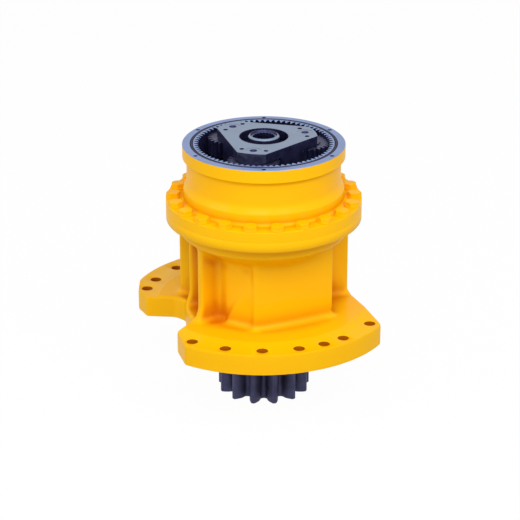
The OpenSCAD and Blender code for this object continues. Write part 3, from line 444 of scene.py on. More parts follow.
def polar(radius, angle):
    """A point at this distance and angle, in radians from +X."""
    return radius * math.cos(angle), radius * math.sin(angle)


def arc(centre, radius, start, end, steps):
    """Points of an arc, angles in degrees."""
    angles = [math.radians(start + (end - start) * k / steps) for k in range(steps + 1)]
    return [(centre[0] + x, centre[1] + y) for x, y in (polar(radius, a) for a in angles)]


def in_metres(points):
    """Points that are written in millimetres."""
    return [(x * MM, y * MM) for x, y in points]


def heading(angle):
    """Turn about the output axis that brings +X to a direction measured from the front."""
    return Matrix.Rotation(math.radians(angle - 90), 4, "Z")


def along_x(low, high, outline):
    """A prism whose outline lies in Y and Z, between two places along X."""
    turn = Matrix(((0, 0, 1, 0), (1, 0, 0, 0), (0, 1, 0, 0), (0, 0, 0, 1)))
    return placed(prism(outline, low, high), turn)


def around(tool, count, radius, first=0.0, height=0.0, twist=0.0):
    """Copies of tool on a circle, joined. Angles are in degrees, measured from the front. twist
    turns each copy on its own axis by that much more, and starts again after a hexagon's 60."""
    copies = []
    for k in range(count):
        twin = tool.copy()
        twin.data = tool.data.copy()
        bpy.context.scene.collection.objects.link(twin)
        own = Matrix.Rotation(math.radians((k * twist) % 60), 4, "Z")
        turn = heading(first + 360 * k / count) @ Matrix.Translation((radius, 0, height))
        copies.append(placed(twin, turn @ own))
    bpy.data.objects.remove(tool)
    return joined(copies)


def sideways(obj, angle, radius, height):
    """Lays an upright object down, so that it points outwards at this place on the housing."""
    lay = Matrix.Rotation(math.radians(90), 4, "Y")
    return placed(obj, heading(angle) @ Matrix.Translation((radius, 0, height)) @ lay)


def rounded(obj, bevel, steps=2, angle=30.0):
    """Rounds the sharp edges of obj and keeps its flat faces flat in the light."""
    modified(
        obj, "BEVEL", width=bevel, segments=steps, limit_method="ANGLE",
        angle_limit=math.radians(angle), miter_outer="MITER_ARC", use_clamp_overlap=True,
    )
    only(obj)
    bpy.ops.object.shade_smooth_by_angle(angle=math.radians(40))
    return modified(obj, "WEIGHTED_NORMAL", mode="FACE_AREA", weight=50, keep_sharp=True)


def dress(name, bevel):
    """A copy of a frame node, its flat faces made whole and its sharp edges rounded."""
    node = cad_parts[name]
    twin = node.copy()
    twin.data = node.data.copy()
    twin.parent = None
    bpy.context.scene.collection.objects.link(twin)
    twin.matrix_world = node.matrix_world
    placed(twin, Matrix.Identity(4))
    twin.data.materials.clear()
    with editing(twin):
        bpy.ops.mesh.select_all(action="SELECT")
        bpy.ops.mesh.remove_doubles(threshold=0.005 * MM)
        bpy.ops.mesh.dissolve_limited(angle_limit=math.radians(0.5))
    return rounded(twin, bevel)


def painted_by(obj, slots, choice):
    """Gives obj these finishes and each face the one that choice names for it."""
    made = materials()
    obj.data.materials.clear()
    for finish in slots:
        obj.data.materials.append(made[finish])
    for face in obj.data.polygons:
        face.material_index = slots.index(choice(face.center, face.normal))
    return obj


def edge_length(obj, edge):
    ends = [obj.data.vertices[k].co for k in edge.vertices]
    return (ends[0] - ends[1]).length


def sheltered(obj, reach, rays=20, passes=3):
    """Writes the attribute open: 1 where no wall stands within reach, and less the nearer walls
    stand. Each pass evens it out between neighbours."""
    tree = BVHTree.FromObject(obj, bpy.context.evaluated_depsgraph_get())
    golden = math.pi * (3 - math.sqrt(5))
    ways = []
    for k in range(rays):
        up = math.sqrt(1 - (k + 0.5) / rays)
        flat = math.sqrt(1 - up * up)
        ways.append(Vector((flat * math.cos(k * golden), flat * math.sin(k * golden), up)))
    values = []
    clear = 0.5 * MM
    for vertex in obj.data.vertices:
        turn = vertex.normal.to_track_quat("Z", "Y")
        start = vertex.co + vertex.normal * clear
        seen = 0.0
        for way in ways:
            far = tree.ray_cast(start, turn @ way, reach)[3]
            seen += 1.0 if far is None else far / reach
        values.append(seen / rays)
    pairs = [tuple(edge.vertices) for edge in obj.data.edges if edge_length(obj, edge) < 6 * MM]
    for _ in range(passes):
        total = [2 * value for value in values]
        count = [2] * len(values)
        for a, b in pairs:
            total[a] += values[b]
            total[b] += values[a]
            count[a] += 1
            count[b] += 1
        values = [t / n for t, n in zip(total, count)]
    obj.data.attributes.new("open", "FLOAT", "POINT").data.foreach_set("value", values)


def finished(obj, name, body, stands_for, finish=None, smooth=0):
    """Names a piece, gives it its body and hides the node that it stands for. finish is
    left out where painted_by has given the piece its finishes."""
    obj.name = name
    obj.data.name = name
    if smooth:
        only(obj)
        bpy.ops.object.shade_smooth_by_angle(angle=math.radians(smooth))
    if finish:
        obj.data.materials.clear()
        obj.data.materials.append(materials()[finish])
    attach(obj, body)
    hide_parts(stands_for)
    return obj


# Finish of every node in the frame, also of those that a new piece stands for
INNER_FINISHES = {
    "turned_steel": [
        "carrier_1", "sun_1", "sun_2_ring", "end_plate", "spacer_tube", "lock_washer",
        "stage_1_pins", "stage_2_pins", "carrier_2", "wear_sleeve", "flange_dowels",
        "stage_1_spring_pins", "stage_2_spring_pins", "ring_gear",
    ],
    "ground_steel": [
        "lower_bearing_cup", "upper_bearing_cup", "lower_bearing_cone", "upper_bearing_cone",
        "lower_bearing_rollers", "upper_bearing_rollers", "stage_1_needles", "stage_2_needles",
    ],
    "hobbed_steel": [
        "planet_1_a", "planet_1_b", "planet_1_c", "planet_2_a", "planet_2_b", "planet_2_c",
        "planet_2_d", "sun_2",
    ],
    "phosphate": [
        "pinion_shaft", "shaft_nut", "end_plate_screws", "sun_1_plug", "drain_plug", "level_plug",
    ],
    # Painted shade: the first-stage washers take the dark steel of the shaded inside
    "oil_and_shade_dark": ["stage_1_washers"],
    "oiled_bronze": ["lower_bearing_cage", "upper_bearing_cage", "stage_2_washers"],
    "rubber": ["joint_o_ring", "top_o_ring", "cover_o_ring", "shaft_seal"],
    "enamel_smooth": ["main_housing", "flange_bolts", "seal_cover", "seal_cover_bolts"],
}


class GEAR_OT_inner(bpy.types.Operator):
    """Give every piece of the frame its finish"""

    bl_idname = "gear.inner"
    bl_label = "Inner pieces"

    def execute(self, context):
        made = materials()
        for finish, names in INNER_FINISHES.items():
            for name in names:
                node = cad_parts[name]
                node.data.materials.clear()
                node.data.materials.append(made[finish])
        return {"FINISHED"}


# Cast housing


class GEAR_PG_casting(bpy.types.PropertyGroup):
    base_t: length("Base thickness", 42, "Thickness of the base flange at its bolt land")
    base_rise: length("Base rise", 3, "Height of the raised middle of the base flange")
    rise_r: length("Rise radius", 214, "Radius of the raised middle")
    base_r: length("Base radius", 264, "Radius of the base flange about its bolt circle's centre")
    rear_r: length("Rear radius", 270, "Radius of the rear lobe")
    off_x: length("Offset right", -3, "Bolt circle's centre from the output axis")
    off_y: length("Offset back", 32, "Bolt circle's centre from the output axis")
    foot_r: length("Foot radius", 157, "Round foot under the housing")
    bolt_r: length("Base bolt circle", 242, "Radius of the base flange's bolt circle")
    hole_r: length("Base hole", 11, "Radius of a base hole")
    spigot_r: length("Spigot radius", 130, "Locating spigot under the flange")
    spigot_z: length("Spigot's foot", -10, "Height of the locating spigot's lower end")
    tube_r: length("Tube radius", 108, "Bearing tube")
    cone_z: length("Cone's foot", 174, "Height where the cone leaves the tube")
    collar_z: length("Collar's foot", 210, "Height where the collar starts")
    collar_r: length("Collar radius", 166, "Collar under the joint flange")
    wall_dist: length("Front wall", 112, "Distance of the front wall from the axis")
    wall_crown: length("Wall crown", 700, "Radius of the front wall's crown")
    wall_left: length("Wall's left end", -72, "Along the wall, from its middle")
    wall_right: length("Wall's right end", 101, "Along the wall, from its middle")
    slim_r: length("Slim ribs' reach", 149, "Outer radius of the slim ribs")
    slim_t: length("Slim ribs' width", 17, "Thickness of the slim ribs")
    broad_r: length("Broad ribs' reach", 180, "Outer radius of the broad ribs")
    broad_t: length("Broad ribs' width", 24, "Thickness of the broad ribs")
    flange_r: length("Joint flange radius", 192.5, "Outer radius of the joint flange")
    flange_t: length("Joint flange thickness", 21, "Thickness of one joint flange")
    joint_hole_r: length("Joint hole", 8.1, "Radius of the hole for a joint bolt")
    cover_bolts: quantity("Cover bolts", 8, "Tapped holes for the seal cover")
    cover_bolt_r: length("Cover bolt circle", 105, "Radius of the seal cover's bolt circle")
    cover_hole_r: length("Cover hole", 5, "Radius of a tapped hole for the seal cover")
    voxel: length("Casting grid", 3.0, "Grid on which the cast form is blended")
    fillet: length("Casting fillet", 5.5, "Radius of the fillets in the casting's corners")


# Directions in degrees, from the front (-Y) towards the right (+X)
SLIM_RIBS = (-58, -91, -146, 180, 146)
BROAD_RIBS = (-112, 112)
BASE_HOLES = (-34, -17, 0, 17, 29.5, 40.5, 61, -103, -114.5, -132, -149, -166, -183, -200)
WALL_TURN = 25
WEB_TURN = -28
# Where the plugs' spot faces lie: angle from the front, distance from the axis and height
DRAIN_FACE = (163, 164.5 * MM, 223 * MM)
LEVEL_FACE = (180, 156.5 * MM, 293.5 * MM)
# The dowels start 9 mm below the joint
JOINT_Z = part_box("flange_dowels")[0].z + 9 * MM


def trimmed_disc(centre, radius, low, high, outline):
    """A disc cut off along an outline, given in millimetres."""
    over = 5 * MM
    edge = prism(in_metres(outline), low - over, high + over)
    return cut(cylinder(radius, low, high, 180, centre), edge, "INTERSECT")


def base_parts(c):
    """Both lobes of the base flange and the round foot between them, with some iron to spare
    below for the machined seat. The outlines are in millimetres."""
    low = -6 * MM
    high = c.base_t + c.base_rise
    front = [
        (-149, -87), (-170, -124), (-152, -186), (-152, -300), (231, -300), (231, -88), (203, -4),
        (175, 62), (166, 88), (110, 112), (0, 60), (-120, 0),
    ]
    rear = [
        (-150, 0), (-163, 22), (-180, 36), (-238, 41), (-257, 80), (-257, 330), (124, 330),
        (124, 200), (96, 124), (0, 60),
    ]
    return [
        cylinder(c.foot_r, low, high, 96),
        trimmed_disc((c.off_x, c.off_y), c.base_r, low, high, front),
        trimmed_disc((c.off_x, c.off_y + 6 * MM), c.rear_r, low, high, rear),
    ]


def wall_parts(c):
    """The crowned front wall and the slanted web on its left, with the shoulder on the web."""
    middle = (c.wall_left + c.wall_right) / 2
    steps = 16
    crown = []
    for k in range(steps + 1):
        t = c.wall_left + (c.wall_right - c.wall_left) * k / steps
        sag = c.wall_crown - math.sqrt(c.wall_crown ** 2 - (t - middle) ** 2)
        crown.append((c.wall_dist - sag, t))
    inside = 20 * MM
    sides = [
        (c.wall_dist - 57 * MM, c.wall_right - 12 * MM), (inside, c.wall_right - 20 * MM),
        (inside, c.wall_left + 10 * MM), (c.wall_dist - 26 * MM, c.wall_left + 6 * MM),
    ]
    wall = placed(prism(crown + sides, 30 * MM, c.collar_z + 8 * MM), heading(WALL_TURN))
    # The web's face: places along it and heights, in millimetres
    face = [(-22, 36), (42, 36), (42, 124), (15, 124), (-22, 56)]
    web_in = 94 * MM
    web_out = 114 * MM
    web = along_x(web_in, web_out, in_metres(face))
    # The shoulder's section, which leans in at the top: distances and heights, in millimetres
    section = [(-94, 122), (-94, 148), (-109, 148), (-114, 124), (-114, 122)]
    shoulder_left = 19 * MM
    shoulder_right = 42 * MM
    shoulder = along_x(shoulder_left, shoulder_right, in_metres(section))
    placed(shoulder, Matrix.Rotation(math.radians(90), 4, "Z"))
    return [wall, placed(web, heading(WEB_TURN)), placed(shoulder, heading(WEB_TURN))]


def rib(angle, reach, width, low, high, foot):
    """A rib that stands out from the tube, with a foot that flares by foot."""
    root = 90 * MM
    side = [(root, low), (reach + foot, low), (reach, low + 3.5 * foot), (reach, high), (root, high)]
    bar = along_x(-width / 2, width / 2, side)
    return placed(bar, heading(angle) @ Matrix.Rotation(math.radians(-90), 4, "Z"))


def casting_blank(c):
    """The cast form before machining: overlapping solids melted into one skin with fillets."""
    foot = 30 * MM
    rim_r = c.flange_r - 3 * MM
    rim_foot = JOINT_Z - c.flange_t
    rim_top = JOINT_Z - 4 * MM
    core = turned([
        (0, foot), (c.tube_r, foot), (c.tube_r, c.cone_z), (c.collar_r, c.collar_z),
        (c.collar_r, rim_foot), (rim_r, rim_foot), (rim_r, rim_top), (0, rim_top),
    ])
    parts = [core, *base_parts(c), *wall_parts(c)]
    sunk = c.base_t - 4 * MM
    for angle in SLIM_RIBS:
        parts.append(rib(angle, c.slim_r, c.slim_t, sunk, c.collar_z, 10 * MM))
    for angle in BROAD_RIBS:
        parts.append(rib(angle, c.broad_r, c.broad_t, sunk, JOINT_Z - 12 * MM, 4 * MM))
    blank = joined(parts)
    modified(blank, "REMESH", mode="VOXEL", voxel_size=c.voxel)
    for sign in (1, -1):
        modified(blank, "DISPLACE", mid_level=0.0, strength=sign * c.fillet)
        modified(blank, "REMESH", mode="VOXEL", voxel_size=c.voxel)
    modified(blank, "SMOOTH", factor=0.5, iterations=6)
    return blank


def bore_profile():
    """Half section of what is bored out on the output axis, from the spigot up to the joint:
    radii and heights in millimetres."""
    return in_metres([
        (0, -12), (90, -12), (90, 72), (82, 72), (82, 78), (87, 83), (87, 134), (73, 140),
        (73, 148), (80, 148), (80, 190), (85, 195), (118, 212), (138, 224), (138, 250.4),
        (144.1, 250.4), (144.1, 260), (0, 260),
    ])


def hole(radius, low, high, bevel, steps=32):
    """Cutter for a hole whose upper edge at high is bevelled."""
    return turned([
        (0, low), (radius, low), (radius, high - bevel), (radius + 2 * bevel, high + bevel),
        (0, high + bevel),
    ], steps)


def base_hole_places(c):
    """Where the base flange's holes stand."""
    centre = Vector((c.off_x, c.off_y, 0))
    return [centre + heading(angle) @ Vector((c.bolt_r, 0, 0)) for angle in BASE_HOLES]


def plug_face(place, depth):
    """Cutter for the round spot face under a plug."""
    return sideways(cylinder(16 * MM, 0, depth, 40), *place)


def machine(blank, c, g):
    """Cuts the seat, the bolt land, the joint flange, the bores and the holes into the blank."""
    steps = 180
    far = 400 * MM
    step = 3 * c.base_rise
    seat = cylinder(far, -30 * MM, 0, 8)
    land = turned([
        (c.rise_r, c.base_t), (far, c.base_t), (far, c.base_t + step),
        (c.rise_r - step, c.base_t + step),
    ], steps)
    placed(land, Matrix.Translation((c.off_x, c.off_y, 0)))
    for tool in (seat, land):
        cut(blank, tool)
    under = JOINT_Z - c.flange_t + 1 * MM
    bevel = 1.2 * MM
    edge = 0.3 * MM
    rim_r = 120 * MM
    rim = turned([
        (rim_r, under), (c.flange_r - bevel, under), (c.flange_r, under + bevel),
        (c.flange_r, JOINT_Z - edge), (c.flange_r - edge, JOINT_Z), (rim_r, JOINT_Z),
    ], steps)
    inside = 60 * MM
    top = 20 * MM
    spigot = turned([
        (inside, top), (inside, c.spigot_z), (c.spigot_r - bevel, c.spigot_z),
        (c.spigot_r, c.spigot_z + bevel), (c.spigot_r, top),
    ], steps)
    for tool in (rim, spigot):
        cut(blank, tool, "UNION")
    cut(blank, turned(bore_profile(), 144))
    base_holes = []
    for place in base_hole_places(c):
        drill = hole(c.hole_r, -5 * MM, c.base_t, 0.8 * MM)
        base_holes.append(placed(drill, Matrix.Translation(place)))
    cut(blank, joined(base_holes))
    joint_hole = cylinder(c.joint_hole_r, JOINT_Z - 2 * c.flange_t, JOINT_Z + 5 * MM, 24)
    cut(blank, around(joint_hole, g.bolts, g.bolt_r, 180 / g.bolts))
    cover_hole = cylinder(c.cover_hole_r, -20 * MM, 18 * MM, 20)
    cut(blank, around(cover_hole, c.cover_bolts, c.cover_bolt_r, 180 / c.cover_bolts))
    cut(blank, plug_face(DRAIN_FACE, 40 * MM))
    return blank


class GEAR_OT_casting(bpy.types.Operator):
    """Blend the housing's casting, then machine its faces, bores and holes"""

    bl_idname = "gear.casting"
    bl_label = "Cast housing"

    def execute(self, context):
        c = context.scene.gear_casting
        blank = casting_blank(c)
        machine(blank, c, context.scene.gear_ring)
        holes = base_hole_places(c)
        reach = c.hole_r + 0.7 * MM

        # Painted shade: the walls of the base flange's holes take the darker hole enamel
        def casting_finish(place, normal):
            if abs(normal.z) > 0.3 or place.z > c.base_t or place.z < 0:
                return "enamel"
            near = min(math.hypot(place.x - at.x, place.y - at.y) for at in holes)
            return "shaded_hole_wall" if near < reach else "enamel"

        painted_by(blank, ["enamel", "shaded_hole_wall"], casting_finish)
        # The attribute open sets where the enamel gets painted shade
        sheltered(blank, 150 * MM)
        finished(blank, "housing_casting", "housing", "main_housing", smooth=50)
        return {"FINISHED"}


# Ring gear and its bolts


class GEAR_PG_ring(bpy.types.PropertyGroup):
    top_z: length("Top", 389.5, "Height of the ring gear's machined top face")
    wall_r: length("Wall radius", 158, "Outside of the wall above the flange")
    waist_r: length("Waist radius", 151, "Outside of the wall at its waist")
    flare_h: length("Flare's foot", 20, "Height above the flange where the wall leans in")
    head_r: length("Head radius", 159, "Outside of the thick upper band")
    cove_r: length("Cove", 11, "Radius of the cove under the upper band")
    cove_t: length("Cove's depth", 36, "From the top face down to the cove's centre")
    teeth: quantity("Teeth", 75, "Internal teeth")
    module: length("Module", 3.5, "Pitch diameter over the number of teeth")
    tip_r: length("Tooth tips", 127.75, "Radius of the internal tooth tips")
    root_r: length("Tooth roots", 135.52, "Radius of the internal tooth roots")
    play: length("Play", 0.1125, "Added to the width of a tooth space at the pitch circle")
    tooth_foot: length("Tooth foot", 264.5, "Height where the teeth start")
    recess_r: length("Recess radius", 135.9, "Bore below the teeth")
    spigot_r: length("Spigot radius", 143.9, "Spigot that centres the ring gear in the housing")
    spigot_t: length("Spigot depth", 6, "How far the spigot reaches into the housing")
    groove_r: length("Groove", 141, "Middle radius of the seal groove in the top face")
    groove_w: length("Groove width", 4.2, "Width of the seal groove")
    groove_t: length("Groove depth", 3.5, "Depth of the seal groove")
    motor_holes: quantity("Motor holes", 6, "Tapped holes for the motor in the top face")
    motor_circle: length("Motor bolt circle", 150.5, "Radius of the motor's bolt circle")
    motor_hole_r: length("Motor hole", 4.25, "Radius of a tapped hole for the motor")
    motor_hole_t: length("Motor hole depth", 22, "Depth of a tapped hole for the motor")
    bolts: quantity("Bolts", 22, "Bolts in the joint flange")
    bolt_r: length("Bolt circle", 178, "Radius of the joint's bolt circle")
    bolt_af: length("Bolt head", 24, "Across the flats of a bolt's head")
    bolt_head: length("Head height", 10, "Height of a bolt's head with its washer face")
    washer_r: length("Washer face", 14.6, "Radius of the washer face under a bolt's head")
    washer_t: length("Washer face thickness", 2.5, "Thickness of the washer face")
    shank_r: length("Bolt shank", 8, "Radius of a bolt's shank")
    shank: length("Shank length", 40, "How far a bolt's shank reaches down")


# Pressure angle of all teeth
PRESSURE = math.radians(20)


def involute(angle):
    return math.tan(angle) - angle


def base_circle(teeth, module):
    """Radius of the circle from which the involutes unroll."""
    return teeth * module / 2 * math.cos(PRESSURE)


def flank(teeth, module, low, high, wider, steps):
    """An involute flank between two radii, as radii with angles from the tooth's middle. wider
    is added to the half tooth's angle at the pitch circle."""
    base = base_circle(teeth, module)
    half = math.pi / (2 * teeth) + wider + involute(PRESSURE)
    radii = [low + (high - low) * k / steps for k in range(steps + 1)]
    return [(r, half - involute(math.acos(base / r))) for r in radii]


def tooth(side, middle):
    """Plan of a tooth from its flank and the direction of its middle."""
    return [
        *(polar(r, middle - turn) for r, turn in side),
        *(polar(r, middle + turn) for r, turn in reversed(side)),
    ]


def rim_outline(g):
    """Plan of the ring gear's bore, whose tooth spaces are the teeth of an outer gear."""
    side = flank(g.teeth, g.module, g.tip_r, g.root_r, g.play / g.module / g.teeth, 5)
    points = []
    for k in range(g.teeth):
        points += tooth(side, math.tau * k / g.teeth)
    return points


def ring_body(g, c):
    """The ring gear's turned outside and its stepped underside, solid inside."""
    foot = JOINT_Z - g.spigot_t
    seat = JOINT_Z + c.flange_t
    edge = 0.3 * MM
    lip = 1.5 * MM
    brow = 1 * MM
    corner = 7 * MM
    shoulder = 9 * MM
    hollow = 24 * MM
    lean = 28
    turn = math.radians(lean)
    lost = (shoulder + hollow) * (1 - math.cos(turn))
    straight = (g.wall_r - g.waist_r - lost) / math.tan(turn)
    flare_z = seat + g.flare_h
    waist_z = flare_z + (shoulder + hollow) * math.sin(turn) + straight
    cove_z = g.top_z - g.cove_t
    cove_x = g.waist_r + g.cove_r
    rise = math.sqrt(g.cove_r ** 2 - (cove_x - g.head_r) ** 2)
    cove_end = math.degrees(math.atan2(rise, g.head_r - cove_x))
    return turned([
        (0, foot), (g.spigot_r, foot), (g.spigot_r, JOINT_Z), (c.flange_r - edge, JOINT_Z),
        (c.flange_r, JOINT_Z + edge),
        *arc((c.flange_r - lip, seat - lip), lip, 0, 90, 4),
        *arc((g.wall_r + corner, seat + corner), corner, 270, 180, 8),
        *arc((g.wall_r - shoulder, flare_z), shoulder, 0, lean, 5),
        *arc((g.waist_r + hollow, waist_z), hollow, 180 + lean, 180, 8),
        *arc((cove_x, cove_z), g.cove_r, 180, cove_end, 8),
        (g.head_r, g.top_z - brow), (g.head_r - brow, g.top_z), (0, g.top_z),
    ], 220)


def groove(g):
    """Cutter for the seal groove, whose mouth is bevelled."""
    half = g.groove_w / 2
    bevel = 1.2 * MM
    over = 1 * MM
    mouth = half + bevel + over
    return turned([
        (g.groove_r - half, g.top_z - g.groove_t), (g.groove_r + half, g.top_z - g.groove_t),
        (g.groove_r + half, g.top_z - bevel), (g.groove_r + mouth, g.top_z + over),
        (g.groove_r - mouth, g.top_z + over), (g.groove_r - half, g.top_z - bevel),
    ], 150)


class GEAR_OT_ring(bpy.types.Operator):
    """Turn the ring gear, cut its teeth, groove and tapped holes"""

    bl_idname = "gear.ring"
    bl_label = "Ring gear"

    def execute(self, context):
        g = context.scene.gear_ring
        c = context.scene.gear_casting
        ring = ring_body(g, c)
        cut(ring, prism(rim_outline(g), g.tooth_foot, g.top_z + 10 * MM))
        cut(ring, cylinder(g.recess_r, JOINT_Z - 20 * MM, g.tooth_foot, 150))
        lead_in = cylinder(
            g.tip_r - 1 * MM, g.top_z - 2.2 * MM, g.top_z + 3 * MM, 150, top=g.tip_r + 4.5 * MM
        )
        cut(ring, lead_in)
        cut(ring, groove(g))
        motor_hole = hole(g.motor_hole_r, g.top_z - g.motor_hole_t, g.top_z, 0.5 * MM, 24)
        cut(ring, around(motor_hole, g.motor_holes, g.motor_circle))
        cut(ring, plug_face(LEVEL_FACE, 30 * MM))
        groove_reach = g.groove_w / 2 + 1.1 * MM
        groove_z = g.top_z - 0.3 * MM
        face_r = g.head_r - 0.3 * MM
        face_z = g.top_z - 1.2 * MM
        hole_z = g.top_z - g.motor_hole_t - 1 * MM
        bare_r = 150 * MM
        bare_hole_r = 157 * MM

        # The teeth, groove and tapped holes take the dark steel of oil and painted shade
        def ring_finish(place, normal):
            r = math.hypot(place.x, place.y)
            if abs(r - g.groove_r) < groove_reach and place.z < groove_z:
                return "oil_and_shade_dark"
            if place.z > face_z and r < face_r:
                return "ring_face"
            inside = r < (bare_hole_r if place.z > hole_z else bare_r)
            return "oil_and_shade_dark" if inside and place.z > JOINT_Z else "enamel"

        painted_by(ring, ["enamel", "ring_face", "oil_and_shade_dark"], ring_finish)
        # The attribute open sets where the enamel gets painted shade, as in the cove
        sheltered(ring, 90 * MM, rays=12, passes=1)
        finished(ring, "ring_gear_case", "housing", "ring_gear", smooth=35)
        return {"FINISHED"}


def hex_bolt(g):
    """A hexagon bolt standing on z = 0: washer face, chamfered head and plain shank."""
    flat = g.bolt_af / 2
    corner = g.bolt_af / math.sqrt(3)
    over = 1 * MM
    head = prism(arc((0, 0), corner, 0, 300, 5), g.washer_t / 2, g.bolt_head)
    chamfer_z = g.bolt_head - (corner - flat) * 0.62 - 0.6 * MM
    cone = turned([
        (0, -over), (corner + over, -over), (corner + over, chamfer_z), (flat * 0.96, g.bolt_head),
        (0, g.bolt_head),
    ], 48)
    cut(head, cone, "INTERSECT")
    edge = 0.4 * MM
    fall = 0.5 * MM
    inset = 0.6 * MM
    skirt = turned([
        (0, 0), (g.washer_r - edge, 0), (g.washer_r, edge), (g.washer_r, g.washer_t - fall),
        (g.washer_r - inset, g.washer_t), (0, g.washer_t),
    ], 40)
    cut(head, skirt, "UNION")
    return cut(head, cylinder(g.shank_r, -g.shank, 0.2 * MM, 24), "UNION")


class GEAR_OT_bolts(bpy.types.Operator):
    """Put the ring of painted bolts into the joint flange"""

    bl_idname = "gear.bolts"
    bl_label = "Joint bolts"

    def execute(self, context):
        g = context.scene.gear_ring
        c = context.scene.gear_casting
        bolt = rounded(hex_bolt(g), 1.5 * MM, 3, 25.0)
        seat = JOINT_Z + c.flange_t
        bolts = around(bolt, g.bolts, g.bolt_r, 180 / g.bolts, height=seat, twist=23)
        finished(bolts, "joint_bolts", "housing", "flange_bolts", "enamel_smooth")
        return {"FINISHED"}


# Gear train, pinion and cover


class GEAR_PG_pinion(bpy.types.PropertyGroup):
    teeth: quantity("Teeth", 13, "Teeth of the pinion")
    module: length("Module", 12, "Pitch diameter over the number of teeth")
    shift: amount("Profile shift", 0.2, "In modules")
    tip_r: length("Tooth tips", 92.4, "Radius of the tooth tips")
    root_r: length("Tooth roots", 65.4, "Radius of the tooth roots")
    root_arc: length("Root fillet", 6.8, "Radius of the full fillet between two teeth")
    foot: length("Lower end", -133.5, "Height of the pinion's free end")
    top: length("Upper end", -35.5, "Height where the teeth end")
    edge: length("Tooth edge", 2.0, "Rounding of the teeth's edges")
    centre_r: length("Centre hole", 9, "Radius of the centre hole's mouth")
    centre_end_r: length("Centre hole's end", 3, "Radius of the centre hole's inner end")
    centre_t: length("Centre hole's depth", 14, "Depth of the centre hole")


def pinion_outline(p):
    """Plan of the pinion: involute flanks that run into full fillets, one tooth space in front."""
    low = base_circle(p.teeth, p.module) * 1.001
    wider = 2 * p.shift * math.tan(PRESSURE) / p.teeth
    side = flank(p.teeth, p.module, low, p.tip_r, wider, 6)
    points = []
    for k in range(p.teeth):
        middle = -90 + (k + 0.5) * 360 / p.teeth
        space = middle + 180 / p.teeth
        centre = polar(p.root_r + p.root_arc, math.radians(space))
        points += tooth(side, math.radians(middle))
        points += arc(centre, p.root_arc, space - 90, space - 270, 8)[1:-1]
    return points


class GEAR_OT_pinion(bpy.types.Operator):
    """Cut the pinion's teeth and join them to the shaft"""

    bl_idname = "gear.pinion"
    bl_label = "Pinion"

    def execute(self, context):
        p = context.scene.gear_pinion
        teeth = prism(pinion_outline(p), p.foot, p.top)
        below = 0.01 * MM
        centre_hole = cylinder(p.centre_r, p.foot - below, p.foot + p.centre_t, top=p.centre_end_r)
        cut(teeth, centre_hole)
        rounded(teeth, p.edge, 2, 35.0)
        shaft = dress("pinion_shaft", 1.0 * MM)
        with editing(shaft):
            bpy.ops.mesh.select_all(action="SELECT")
            bpy.ops.mesh.bisect(
                plane_co=(0, 0, p.top - 1 * MM), plane_no=(0, 0, 1), clear_inner=True, use_fill=True
            )
        piece = joined([teeth, shaft])
        finished(piece, "pinion_with_shaft", "output", "pinion_shaft", "phosphate")
        return {"FINISHED"}


# For each node: body, slot, finish, bevel in millimetres and the finish of its top face
TRAIN = {
    "planet_1_a": ("first_planet_a", "gear_steel", "oil_and_shade_dark", 0.6, "hobbed_steel"),
    "planet_1_b": ("first_planet_b", "gear_steel", "oil_and_shade_dark", 0.6, "hobbed_steel"),
    "planet_1_c": ("first_planet_c", "gear_steel", "oil_and_shade_dark", 0.6, "hobbed_steel"),
    "sun_1": ("first_sun", "gear_steel", "oil_and_shade_dark", 0.5, "turned_steel"),
    "seal_cover": ("housing", "housing_paint", "enamel_smooth", 1.0, None),
    "seal_cover_bolts": ("housing", "housing_paint", "enamel_smooth", 0.7, None),
    "drain_plug": ("housing", "dark_steel", "phosphate", 0.8, None),
    "level_plug": ("housing", "dark_steel", "phosphate", 0.8, None),
}


def bevel_bore(sun):
    """Opens the mouth of the bore in the sun gear's collar."""
    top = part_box("sun_1")[1].z
    foot_r = 24.6 * MM
    mouth_r = 27 * MM
    return cut(sun, cylinder(foot_r, top - 4 * MM, top + 1 * MM, 64, top=mouth_r))


class GEAR_OT_train(bpy.types.Operator):
    """Dress the gears, the seal cover and the plugs"""

    bl_idname = "gear.train"
    bl_label = "Gear train"

    def execute(self, context):
        for name, (body, slot, finish, bevel, top) in TRAIN.items():
            piece = dress(name, bevel * MM)
            if name == "sun_1":
                bevel_bore(piece)
            # The gears' sides take the dark steel of oil and painted shade, and their top faces a
            # lighter finish
            if top:
                bare_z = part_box(name)[1].z - 4.5 * MM
                painted_by(piece, [finish, top], lambda place, normal: (
                    top if normal.z > 0.6 and place.z > bare_z else finish
                ))
            finished(piece, name + "_dressed", body, name, None if top else finish)
        return {"FINISHED"}


